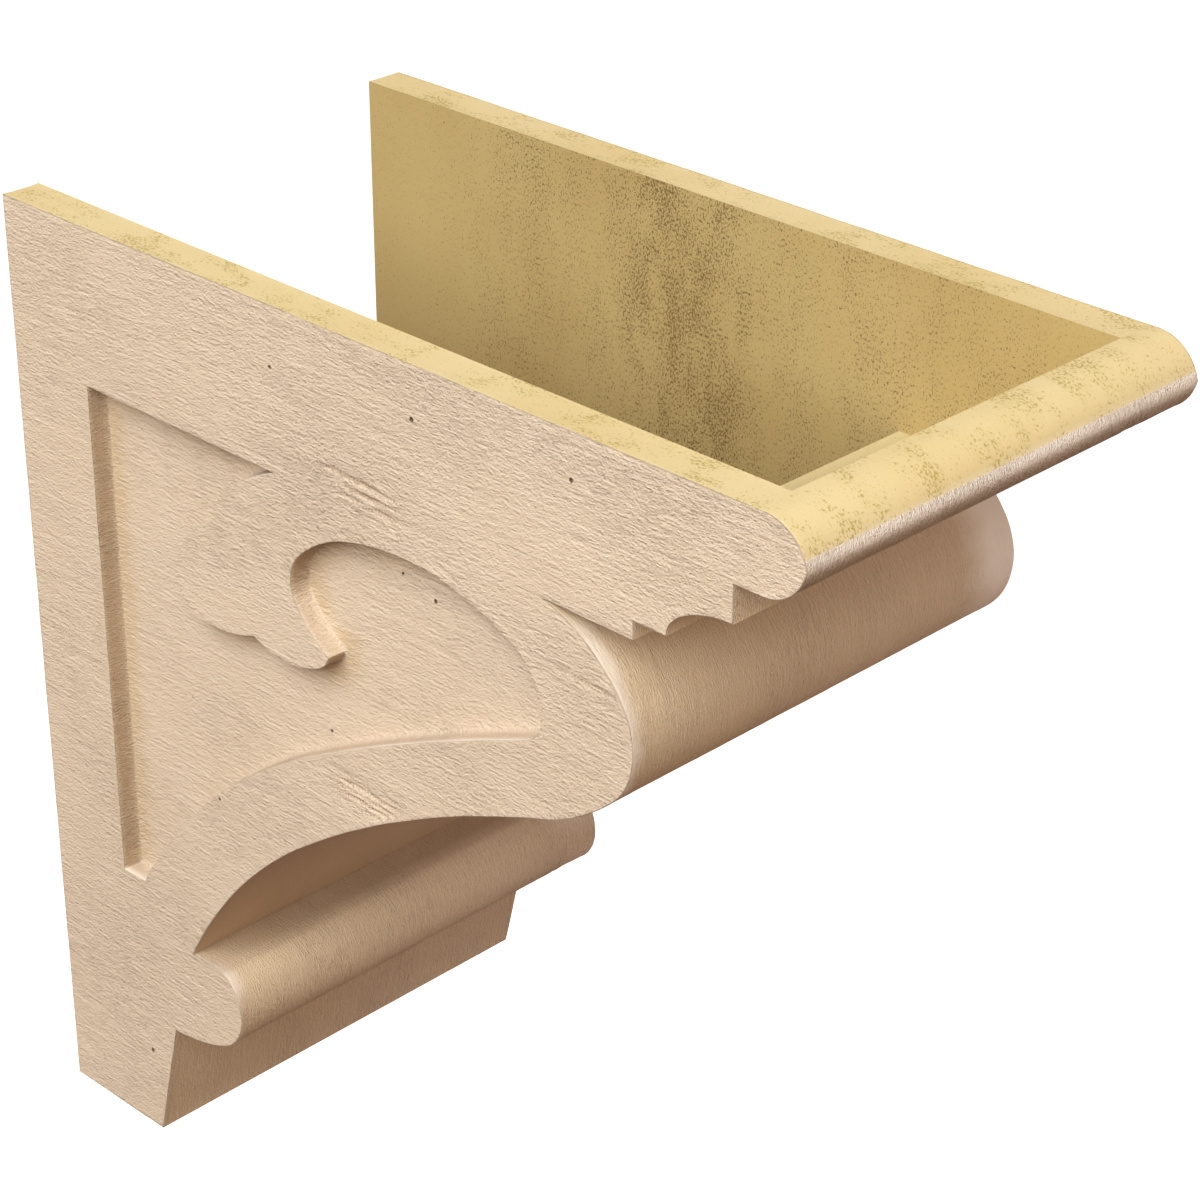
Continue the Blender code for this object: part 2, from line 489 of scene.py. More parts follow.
def tones(shape: tuple[int, ...], sunk: Array | float = 0.0, worn_and_lit: Array | float = 0.0,
          warm: Array | float = 0.0, coarse: Array | float = 1.0) -> Array:
    """Return the four tones side by side in a last axis.

    Args:
        shape: shape of the points that the tones are for.
        sunk: painted shade, how dark a place is painted for the shade in hollows, pinholes,
            gouges, on the panel's walls and under the long curve, from 0 to 1.
        worn_and_lit: how pale, from 0 to 1: partly rubbed wear, partly painted light on the
            front's ends, the bead's lip, the brinks of walls facing up and the ledge.
        warm: how yellowed by painted warm light and painted warm shade, from 0 to 1; on the
            bare inner face, how thickly its grit lies.
        coarse: how crumbly, where 1 is the cheeks' own roughness.

    Returns:
        The tones, of the given shape with one more axis of four.
    """
    return np.stack([np.broadcast_to(tone, shape) for tone in (sunk, worn_and_lit, warm, coarse)], -1)


@dataclass
class Patch:
    """Part of the casting's skin.

    Points are (width, depth, height) in inches. Grain is the place along and across the grain
    that the finish reads, and tone holds the point's tones.
    """

    points: Array
    triangles: Array
    grain: Array
    tone: Array
    finish: Array

    @staticmethod
    def grid(points: Array, grain: Array, tone: Array, finish: Array) -> "Patch":
        """Join a grid of points into triangles, two to each square.

        Args:
            points: (rows, columns, 3) places.
            grain: (rows, columns, 2) places on the grain.
            tone: (rows, columns, 4) tones.
            finish: (rows - 1,) finish of each row of squares.

        Returns:
            The patch.
        """
        rows, columns = points.shape[:2]
        index = np.arange(rows * columns).reshape(rows, columns)
        low, right = index[:-1, :-1], index[:-1, 1:]
        up, over = index[1:, :-1], index[1:, 1:]
        squares = np.stack((low, right, over, low, over, up), -1).reshape(-1, 3)
        return Patch(points.reshape(-1, 3), squares, grain.reshape(-1, 2),
                     tone.reshape(-1, len(TONES)), np.repeat(finish, 2 * (columns - 1)))


def triangulate(loops: list[Array], free: Array) -> tuple[Array, Array]:
    """Join closed loops and the free points between them into triangles.

    The first loop is the outside and the others are holes. A Delaunay triangulation that keeps
    every edge of the loops is trimmed to the triangles whose middle lies in the region.

    Args:
        loops: each (n, 2), none touching another.
        free: (m, 2) points inside the region.

    Returns:
        All the points, loops first, and the triangles as rows of three point numbers.
    """
    points = np.vstack([*loops, free])
    edges = []
    first = 0
    for loop in loops:
        index = np.arange(first, first + len(loop))
        edges += np.stack((index, np.roll(index, -1)), 1).tolist()
        first += len(loop)
    corners = list(map(Vector, points.tolist()))
    _, _, faces, origins, _, _ = delaunay_2d_cdt(corners, edges, [], 0, TOUCHING)
    if len(origins) != len(points) or min(map(len, origins)) != 1:
        raise ValueError("two outlines of a cheek cross or touch")
    triangles = np.array(origins)[:, 0][np.array(faces)]
    middle = points[triangles].mean(1)
    near, far = (points[triangles[:, corner]] - points[triangles[:, 0]] for corner in (1, 2))
    flat = np.abs(near[:, 0] * far[:, 1] - near[:, 1] * far[:, 0]) < NO_AREA
    keep = inside(middle, loops[0]) & ~flat
    for hole in loops[1:]:
        keep &= ~inside(middle, hole)
    return points, triangles[keep]


def staggered(loops: list[Array], pitch: Pair, margin: float, holes: tuple[Pinhole, ...] = (),
              gouges: tuple[Gouge, ...] = ()) -> Array:
    """Return the free points of a region: a brickwork of points, with marks' own points in it.

    Args:
        loops: the outside loop, then the region's holes.
        pitch: spacing along and across the grain.
        margin: least distance to a loop.
        holes: pinholes, whose own rings of points take the brickwork's place.
        gouges: gouges, whose own closer brickwork takes its place.

    Returns:
        The points.
    """
    points = brickwork(loops[0].min(0), loops[0].max(0), pitch)
    for gouge in gouges:
        points = np.vstack([points[~gouge.holds(points)], gouge.brickwork()])
    points = points[inside(points, loops[0])]
    for loop in loops[1:]:
        points = points[~inside(points, loop)]
    for loop in loops:
        points = points[clearance(points, loop) > margin]
    for hole in holes:
        points = points[np.hypot(*(points - hole.place).T) > hole.radius * hole.clear_reach]
    return np.vstack([points, *(hole.rings() for hole in holes)])


# Sub-assemblies


@dataclass(frozen=True)
class Stretch:
    """A run of the side outline, with its face's share of full relief, crumbliness and finish."""

    points: Array
    rough: float
    coarse: float
    finish: Finish = Finish.PRIMED


@dataclass(frozen=True)
class SideOutline:
    """The corbel's outline seen from the side, in inches.

    A bend is the radius of an arc, to the left of the way for a positive one.
    """

    depth: float = 12.0
    height: float = 12.0
    wall: float = 0.5
    foot_depth: float = 1.71
    block_top: Point = (2.13, 1.70)
    block_bend: float = 2.70
    roll_foot: Point = (3.05, 1.92)
    roll_nose: Point = (3.38, 2.745)
    roll_end: Point = (2.85, 3.02)
    roll_bends: Pair = (0.63, 0.46)
    curve_foot: Point = (2.57, 3.02)
    curve_middle: Point = (4.737, 5.484)
    curve_end: Point = (8.538, 7.489)
    tight_bend: float = -7.50
    slack_bend: float = -15.0
    scroll_low: Point = (9.560, 8.111)
    scroll_high: Point = (9.700, 9.281)
    scroll_bends: tuple[float, float, float] = (2.93, 0.915, 1.83)
    soffit: float = 10.06
    groove_root: float = 8.58
    fillet_depth: float = 9.84
    fillet_top: float = 10.27
    cove_start: float = 10.27
    cove_end: float = 11.12
    cove_top: float = 10.71
    bead_height: float = 0.865
    bead_start: float = 11.50
    bead_bend: float = 0.55
    bare_bead_height: float = 11.67
    rim_inner: float = 11.36
    step: float = 0.085
    bead_fineness: float = 0.8
    rear_coarseness: float = 1.5

    @property
    def nose(self) -> Point:
        """Foremost place of the rounded front edge."""
        return self.depth, self.height - self.bead_height / 2

    @property
    def bare_point(self) -> Point:
        """Place on the rounded edge where the primer stops and the bare foam begins."""
        brow = (self.bead_start, self.height)
        centre = arc_centre(self.nose, brow, self.bead_bend)
        rise = self.bare_bead_height - centre[1]
        return float(centre[0] + math.sqrt(self.bead_bend**2 - rise**2)), self.bare_bead_height

    @property
    def lean(self) -> float:
        """How far the block's front leans out for each inch it rises."""
        return (self.block_top[0] - self.foot_depth) / self.block_top[1]

    def cove(self) -> Array:
        """Return the cove, a quarter ellipse that starts upright and ends level."""
        angle = math.pi / 2 * np.arange(1, 13) / 12
        reach = self.cove_end - self.cove_start
        rise = self.cove_top - self.fillet_top
        return np.stack((self.cove_end - reach * np.cos(angle),
                         self.fillet_top + rise * np.sin(angle)), 1)

    def front(self) -> list[Stretch]:
        """Return the stretches from the foot's rear corner round to the rim's inner edge."""
        step = self.step
        fine = step * self.bead_fineness
        under_bend, nose_bend = self.roll_bends
        low_bend, high_bend, top_bend = self.scroll_bends
        groove_edge = (self.fillet_depth, self.soffit)
        root = (self.groove_root, self.soffit)
        fillet = (self.fillet_depth, self.fillet_top)
        riser_top = (self.cove_end, self.height - self.bead_height)
        bead_under = (self.bead_start, self.height - self.bead_height)
        brow = (self.bead_start, self.height)
        bend, bare = self.bead_bend, self.bare_point
        return [
            Stretch(run((0.0, 0.0), [((self.foot_depth, 0.0),)], step), 0.5, 0.9),
            Stretch(run((self.foot_depth, 0.0), [(self.block_top,)], step), 1.0, 1.0),
            Stretch(run(self.block_top, [(self.roll_foot, self.block_bend)], step), 0.8, 0.8),
            Stretch(run(self.roll_foot, [(self.roll_nose, under_bend)], step), 1.0, 1.0),
            Stretch(run(self.roll_nose, [(self.roll_end, nose_bend)], step), 1.0, 1.0),
            Stretch(run(self.roll_end, [(self.curve_foot,)], step), 0.7, 1.0),
            Stretch(run(self.curve_foot, [(self.curve_middle, self.tight_bend),
                                          (self.curve_end, self.slack_bend)], step), 0.12, 0.35),
            Stretch(run(self.curve_end, [(self.scroll_low, low_bend)], step), 0.45, 0.6),
            Stretch(run(self.scroll_low, [(self.scroll_high, high_bend)], step), 0.8, 0.85),
            Stretch(run(self.scroll_high, [(root, top_bend)], step), 0.3, 0.8),
            Stretch(run(root, [(groove_edge,)], step), 0.2, 0.6),
            Stretch(run(groove_edge, [(fillet,)], step), 0.4, 1.0),
            Stretch(run(fillet, [((self.cove_start, self.fillet_top),)], step), 0.3, 0.8),
            Stretch(self.cove(), 0.3, 0.6),
            Stretch(run((self.cove_end, self.cove_top), [(riser_top,)], step), 0.6, 1.2),
            Stretch(run(riser_top, [(bead_under,)], step), 0.4, 1.2),
            Stretch(run(bead_under, [(self.nose, bend), (bare, bend)], fine), 0.7, 3.0),
            Stretch(run(bare, [(brow, bend)], fine), 0.15, 1.0, Finish.RIM_FOAM),
            Stretch(run(brow, [((self.rim_inner, self.height),)], step), 0.15, 1.0, Finish.RIM_FOAM),
        ]

    def rim(self) -> Array:
        """Return the cheek's top edge, from the rim's inner edge back to the wall."""
        return run((self.rim_inner, self.height), [((0.0, self.height),)], self.step)

    def rear(self) -> Array:
        """Return the cheek's rear edge, from the top down to the floor board and the foot."""
        moves = [((0.0, self.wall),), ((0.0, 0.0),)]
        return run((0.0, self.height), moves, self.step * self.rear_coarseness)


@dataclass(frozen=True)
class Arris:
    """A rounded edge between two faces, worn unevenly along its length, in inches."""

    radius: float = 0.009
    unevenness: float = 0.6
    wander_length: float = 0.42
    wander_gain: float = 1.6
    seed: int = 3

    def radii(self, along: Array) -> Array:
        """Return the radius at each place along the edge: the mean, wandering both ways."""
        wander = layered_noise(along / self.wander_length, along * 0.0, self.seed, 3)
        return self.radius * (1 + self.unevenness * np.clip(self.wander_gain * wander, -1.0, 1.0))

    @staticmethod
    def turn(steps: int = 2) -> list[Pair]:
        """Return a quarter turn's places as shares of the radius, (in from one face, the other).

        They lie on a quarter circle, so the first is (0, 1) and the last is (1, 0).
        """
        angles = [math.pi / 2 * step / steps for step in range(steps + 1)]
        return [(1 - math.cos(angle), 1 - math.sin(angle)) for angle in angles]


@dataclass
class Skin:
    """The outline that every part of the casting's skin shares, with its edges' radii.

    The half width is from the middle to a cheek's face, and the half hollow to its inner face.
    The groove's fill ends a margin outside the hollow. Relief fades within a reach of a corner.
    """

    outline: SideOutline
    half_width: float = 3.0
    half_hollow: float = 2.5
    fill_margin: float = 0.1
    middle_columns: int = 92
    side_columns: int = 7
    last_column: float = 2.95
    corner_reach: float = 0.16
    blend: tuple[float, float, float] = (0.25, 0.5, 0.25)

    def __post_init__(self) -> None:
        """Lay out the closed loop, its edges' radii and each row's share of relief."""
        stretches = self.outline.front()
        front = np.vstack([np.zeros((1, 2))] + [stretch.points for stretch in stretches])
        rim, rear = self.outline.rim(), self.outline.rear()
        self.loop = np.vstack([front, rim, rear[:-1]])
        self.front_end = len(front) - 1
        self.rim_end = self.front_end + len(rim)
        self.normals = inward_normals(self.loop)
        self.travel = length_along(np.vstack([self.loop, self.loop[:1]]))
        self.radii = Arris().radii(self.travel[:-1])
        counts = [len(stretch.points) for stretch in stretches]
        rough = np.repeat([stretch.rough for stretch in stretches], counts)
        self.rough = np.convolve(np.concatenate((rough[:1], rough)), self.blend, "same")
        gaps = corner_gaps(self.loop)[:len(front)]
        self.rough = self.rough * smoothstep(gaps, 0.0, self.corner_reach)
        coarse = np.repeat([stretch.coarse for stretch in stretches], counts)
        self.coarse = np.concatenate((coarse[:1], coarse))
        self.front_finish = np.repeat([stretch.finish.value for stretch in stretches], counts)

    @property
    def fill_half(self) -> float:
        """Width from the middle at which the groove's fill ends."""
        return self.half_hollow + self.fill_margin

    def columns(self) -> Array:
        """Return the widths of the front's columns, without the two at the arrises.

        The two at the ends of the groove's fill stand twice, because the surface steps there.
        """
        middle = np.linspace(-self.half_hollow, self.half_hollow, self.middle_columns)
        side = np.linspace(self.fill_half, self.last_column, self.side_columns)
        side = np.concatenate(((self.fill_half, self.fill_half), side[1:]))
        return np.concatenate((-side[::-1], middle, side))

    def hollow_columns(self) -> Array:
        """Return the widths of the columns between the cheeks' inner faces."""
        columns = self.columns()
        return columns[np.abs(columns) <= self.half_hollow + ON_THE_LINE]

    def edge_columns(self) -> Array:
        """Return the widths of a cheek's own columns, from its inner face outwards."""
        columns = np.unique(np.round(self.columns(), 9))
        return columns[columns >= self.half_hollow - ON_THE_LINE]


SKIN_LAYERS = (
    Relief(along=0.85, across=0.50, depth=0.010, seed=101),
    Relief(along=0.70, across=0.085, depth=0.007, seed=131, cut=Cut.FURROWS, patchy=0.75),
    Relief(along=0.20, across=0.095, depth=0.004, seed=151, octaves=2),
    Relief(along=0.24, across=0.10, depth=0.010, seed=171, cut=Cut.NICKS, patchy=0.6),
)

FOAM_LAYERS = (
    Relief(along=1.1, across=0.9, depth=0.006, seed=211),
    Relief(along=0.3, across=0.3, depth=0.003, seed=231),
)

LEFT_GOUGES = (
    Gouge((6.00, 10.28), 1.05, 0.46, 0.042, 4.0, -0.03),
    Gouge((5.25, 10.42), 0.70, 0.20, 0.022, 2.0),
    Gouge((5.86, 6.57), 1.20, 0.42, 0.042, 5.0, -0.04),
    Gouge((9.20, 9.33), 0.95, 0.24, 0.026, 2.0, -0.04),
    Gouge((9.08, 10.86), 0.22, 0.10, 0.034, 1.0, -0.20),
    Gouge((2.35, 4.05), 0.55, 0.13, 0.026, 2.0, -0.10),
    Gouge((1.15, 11.05), 0.75, 0.46, 0.018, 4.0, 0.15),
    Gouge((7.35, 10.85), 1.20, 0.30, 0.016, 4.0, -0.03),
)

RIGHT_GOUGES = (
    Gouge((3.60, 11.05), 1.10, 0.34, 0.024, 4.0, 0.05),
    Gouge((7.80, 10.30), 0.95, 0.30, 0.022, 3.0, -0.04),
    Gouge((0.80, 6.10), 0.80, 0.28, 0.020, 3.0, 0.03),
    Gouge((9.05, 8.80), 0.75, 0.22, 0.020, 2.0, -0.05),
)

FACE_PINHOLES = (
    Pinhole((6.74, 11.39)),
    Pinhole((1.62, 1.15)),
    Pinhole((4.55, 11.29), 0.022),
    Pinhole((9.00, 11.48), 0.024),
    Pinhole((3.27, 5.49), 0.019),
)

FLOOR_PINHOLES = (
    Pinhole((6.76, 9.25), 0.024),
    Pinhole((6.27, 9.40), 0.018),
    Pinhole((5.02, 7.00), 0.020),
)


def layers_sunk(layers: tuple, u: Array, v: Array) -> Array:
    """Return the depth of several layers of relief together."""
    total = np.zeros_like(u, dtype=float)
    for layer in layers:
        total += layer.sunk(u, v)
    return total


def pinholed(holes: tuple[Pinhole, ...], points: Array) -> tuple[Array, Array]:
    """Return how deep some pinholes make each point and how much painted shade they put on it, the
    nearest one deciding.
    """
    depths = [hole.sunk(points) for hole in holes]
    darks = [hole.dark(points) for hole in holes]
    return np.max(depths, axis=0), np.max(darks, axis=0)


def depth_shade(depth: Array, clear: float = 0.018, full: float = 0.045) -> Array:
    """Return how much painted shade a place gets from its depth in inches, most in the deepest
    hollows.
    """
    return smoothstep(depth, clear, full)


@dataclass(frozen=True)
class WearAndLight:
    """Where the front is painted pale: on the scroll's and the roll's ends partly rubbed wear and
    partly painted light, and on the bead's lip a painted highlight.

    A band starts and ends at distances from a cheek's face, in inches, and wanders along its
    length. Boxes and heights are in the side view.
    """

    skin: Skin
    left_band: Pair = (0.02, 0.22)
    left_wander: float = 0.12
    right_band: Pair = (0.20, 0.95)
    right_wander: float = 0.30
    wander_length: float = 0.7
    wander_seed: int = 331
    scroll_box: Box = ((8.4, 7.4), (10.0, 9.9))
    scroll_share: float = 0.62
    scroll_heights: Pair = (7.7, 8.9)
    scroll_low_gain: float = 0.8
    scroll_gain_rise: float = 1.2
    roll_box: Box = ((2.2, 1.75), (3.4, 3.05))
    roll_share: float = 0.55
    blend_rows: int = 5
    lip_box: Box = ((11.6, 11.3), (12.1, 11.68))
    lip_heights: Pair = (11.36, 11.60)
    lip_highlight: float = 0.9

    def tone(self, along: Array, widths: Array) -> Array:
        """Return how pale each place is painted: rubbed wear and painted light together.

        The band is narrow at the left ends and wide at the right ones, where it is strongest
        high on the scroll.

        Args:
            along: (rows, columns) lengths round the outline.
            widths: (rows, columns) widths.

        Returns:
            (rows, columns) shares from 0, some a little over 1.
        """
        line = self.skin.loop[:len(along)]
        wander = layered_noise(along / self.wander_length, widths * 0.0, self.wander_seed, 3)
        from_left = self.skin.half_width + widths + self.left_wander * wander
        from_right = self.skin.half_width - widths + self.right_wander * wander
        left = 1 - smoothstep(from_left, *self.left_band)
        right = 1 - smoothstep(from_right, *self.right_band)
        scroll = within(line, *self.scroll_box)
        share = self.scroll_share * scroll + self.roll_share * within(line, *self.roll_box)
        share = np.convolve(share, np.ones(self.blend_rows) / self.blend_rows, "same")
        rise = smoothstep(line[:, 1], *self.scroll_heights)
        high = np.where(scroll, self.scroll_low_gain + self.scroll_gain_rise * rise, 1.0)
        # painted highlight along the bead's lip
        lip = smoothstep(line[:, 1], *self.lip_heights) * within(line, *self.lip_box)
        ends = left * share[:, None] + right * (share * high)[:, None]
        return ends + self.lip_highlight * lip[:, None]


@dataclass(frozen=True)
class Front:
    """The moulded front: block, roll, long curve, scroll, groove, steps and rounded edge.

    The fill's box and the long curve's box are in the side view, in inches. The primer is darkened
    as painted shade under the long curve and in the relief's hollows, and yellowed as painted warm
    light, most towards the left end.
    """

    skin: Skin
    fill_box: Box = ((8.0, 9.4), (9.10, 10.2))
    curve_box: Box = ((2.5, 3.0), (8.5, 7.5))
    curve_shade: float = 0.45
    hollow_shade: float = 0.25
    least_warmth: float = 0.25
    left_warmth: float = 0.60
    warm_widths: Pair = (-2.8, 2.0)
    grain_shift: float = 40.0
    arris_reach: float = 0.08
    end_reach: float = 0.15

    def relief(self, along: Array, widths: Array) -> Array:
        """Return the depth that the front is sunk at each row and column.

        Here the grain runs round the outline, so a place on the grain is (length round the
        outline, width). The relief fades out at the cheeks' arrises and at the two ends.

        Args:
            along: (rows, columns) lengths round the outline.
            widths: (rows, columns) widths.

        Returns:
            (rows, columns) depths.
        """
        depth = layers_sunk(SKIN_LAYERS, along, widths + self.grain_shift)
        edge = smoothstep(widths[:, -1:] - np.abs(widths), 0.0, self.arris_reach)
        ends = smoothstep(along, 0.0, self.end_reach)
        ends = ends * smoothstep(along[-1] - along, 0.0, self.end_reach)
        return depth * self.skin.rough[:, None] * edge * ends

    def fill_groove(self, line: Array, widths: Array, side: Array) -> None:
        """Fill the groove's root between the cheeks, up to the straight line across its mouth.

        Args:
            line: (rows, 2) the outline.
            widths: (rows, columns) widths.
            side: (rows, columns, 2) places in the side view, changed at the groove's rows.
        """
        groove = np.flatnonzero(within(line, *self.fill_box))
        first, last = groove[0] - 1, groove[-1] + 1
        share = np.linspace(0.0, 1.0, last - first + 1)[:, None]
        chord = line[first] + (line[last] - line[first]) * share
        filled = np.zeros(widths.shape[1], bool)
        copies = np.flatnonzero(np.isclose(np.abs(widths[0]), self.skin.fill_half))
        filled[copies[1]:copies[2] + 1] = True
        side[first:last + 1] = line[first:last + 1, None, :]
        side[first:last + 1, filled] = chord[:, None, :]

    def patch(self) -> Patch:
        """Carry the outline across the width, sink its relief and fill the groove's root.

        Returns:
            The front's patch, from the foot's rear corner to the rim's inner edge.
        """
        skin = self.skin
        rows = skin.front_end + 1
        line = skin.loop[:rows]
        inner = skin.columns()
        ends = (skin.half_width - skin.radii[:rows])[:, None]
        widths = np.concatenate((-ends, np.broadcast_to(inner, (rows, len(inner))), ends), 1)
        along = np.broadcast_to(skin.travel[:rows, None], widths.shape)
        depth = self.relief(along, widths)
        side = line[:, None, :] + skin.normals[:rows, None, :] * depth[:, :, None]
        self.fill_groove(line, widths, side)
        points = np.concatenate((widths[:, :, None], side), 2)
        grain = np.stack((along, widths + self.grain_shift), 2)
        # painted warm light: the front is yellowed, most towards the left end where the lamps reach
        # in under the overhang
        to_left = 1 - smoothstep(widths, *self.warm_widths)
        curve = within(line, *self.curve_box)
        # painted shade: darker in the relief's hollows and all along the underside of the long curve
        sunk = self.hollow_shade * depth_shade(depth) + self.curve_shade * curve[:, None]
        tone = tones(widths.shape, sunk=sunk, worn_and_lit=WearAndLight(skin).tone(along, widths),
                     warm=self.least_warmth + self.left_warmth * to_left,
                     coarse=skin.coarse[:, None])
        return Patch.grid(points, grain, tone, skin.front_finish)


@dataclass(frozen=True)
class Hollow:
    """The inside between the cheeks, with its ledge behind the scroll, in inches."""

    skin: Skin
    bend_start: float = 2.30
    ledge_back: float = 8.56
    ledge_front: float = 8.73
    ledge_foot: float = 8.035
    ledge_highlight: float = 0.9
    ledge_margin: float = 0.01
    rim_drop: float = 0.10
    grain_shift: float = 80.0
    step: float = 0.24

    def wall_in(self, point: Point, centre: Array) -> Point:
        """Return the point moved straight away from an arc's centre by one wall."""
        outward = np.asarray(point, float) - centre
        moved = point + outward / np.hypot(*outward) * self.skin.outline.wall
        return float(moved[0]), float(moved[1])

    def line(self) -> Array:
        """Return the side outline from the floor board's rear edge to the rim's inner edge."""
        side = self.skin.outline
        foot = side.foot_depth - side.wall * math.hypot(1.0, side.lean)
        tight = arc_centre(side.curve_foot, side.curve_middle, side.tight_bend)
        slack = arc_centre(side.curve_middle, side.curve_end, side.slack_bend)
        start = (0.0, side.wall)
        moves = [
            ((foot + side.lean * side.wall, side.wall),),
            ((foot + side.lean * self.bend_start, self.bend_start),),
            (self.wall_in(side.curve_foot, tight),),
            (self.wall_in(side.curve_middle, tight), side.tight_bend - side.wall),
            (self.wall_in(side.curve_end, slack), side.slack_bend - side.wall),
            ((self.ledge_back, self.ledge_foot),),
            ((self.ledge_back, side.soffit),),
            ((self.ledge_front, side.soffit),),
            ((side.rim_inner, side.height - self.rim_drop),),
            ((side.rim_inner, side.height),),
        ]
        return np.vstack([[start], run(start, moves, self.step)])

    def patch(self) -> Patch:
        """Carry the hollow's outline across the width between the cheeks.

        Returns:
            The patch of the floor and the front wall's inner face.
        """
        line = self.line()
        columns = self.skin.hollow_columns()
        widths = np.broadcast_to(columns, (len(line), len(columns)))
        along = np.broadcast_to(length_along(line)[:, None], widths.shape)
        side = np.broadcast_to(line[:, None, :], (*widths.shape, 2))
        points = np.concatenate((widths[:, :, None], side), 2)
        grain = np.stack((widths + self.grain_shift, along), 2)
        finish = np.full(len(line) - 1, Finish.INNER_FOAM.value)
        # painted highlight: the ledge behind the scroll is painted pale, as if lit from above
        on_ledge = line[:, 1:] > self.skin.outline.soffit - self.ledge_margin
        tone = tones(widths.shape, worn_and_lit=self.ledge_highlight * on_ledge)
        return Patch.grid(points, grain, tone, finish)


@dataclass(frozen=True)
class SunkPanel:
    """The panel sunk in a cheek, whose right side leaves a leaf scroll standing, in inches."""

    back: float = 1.325
    foot: float = 3.67
    top: float = 10.06
    notch: Point = (4.56, 10.06)
    sunk: float = 0.25
    fillet: float = 0.03
    least_fillet: float = 0.003
    fillet_growth: float = 0.08
    step: float = 0.06

    def loop(self) -> Array:
        """Return the panel's closed outline, anticlockwise as its floor is seen from the left."""
        start = (self.back, self.foot)
        moves = [
            ((self.back, self.top),),
            (self.notch,),
            # back of the leaf scroll: a long upper lobe and a round lower one
            ((3.95, 9.765), 2.6),
            ((3.38, 9.05), 1.35),
            ((2.76, 8.33), 1.05),
            ((3.13, 7.785), 0.42),
            # underside of the leaf: two shallow lobes that meet in a cusp, then up into the beak
            ((4.05, 7.915), 1.68),
            ((5.136, 7.92), 1.30),
            ((5.31, 8.12), 0.326),
            # inside of the curl, over the top and round its far end
            ((4.826, 8.550), -1.51),
            ((4.873, 9.177), -0.486),
            ((5.600, 9.617), -1.72),
            ((8.083, 9.419), -3.40),
            ((8.560, 8.800), -0.88),
            ((8.380, 8.360), -0.37),
            # long lower edge, which follows the corbel's own curve back to the foot
            ((4.630, 6.570), 29.0),
            ((1.720, 3.685), 8.60),
            (start,),
        ]
        return run(start, moves, self.step)[::-1]

    def fillets(self, loop: Array) -> Array:
        """Return the fillet's radius at each point of the loop, which dies away in the notch."""
        away = np.hypot(*(loop - self.notch).T)
        return np.minimum(self.fillet, self.least_fillet + self.fillet_growth * away)


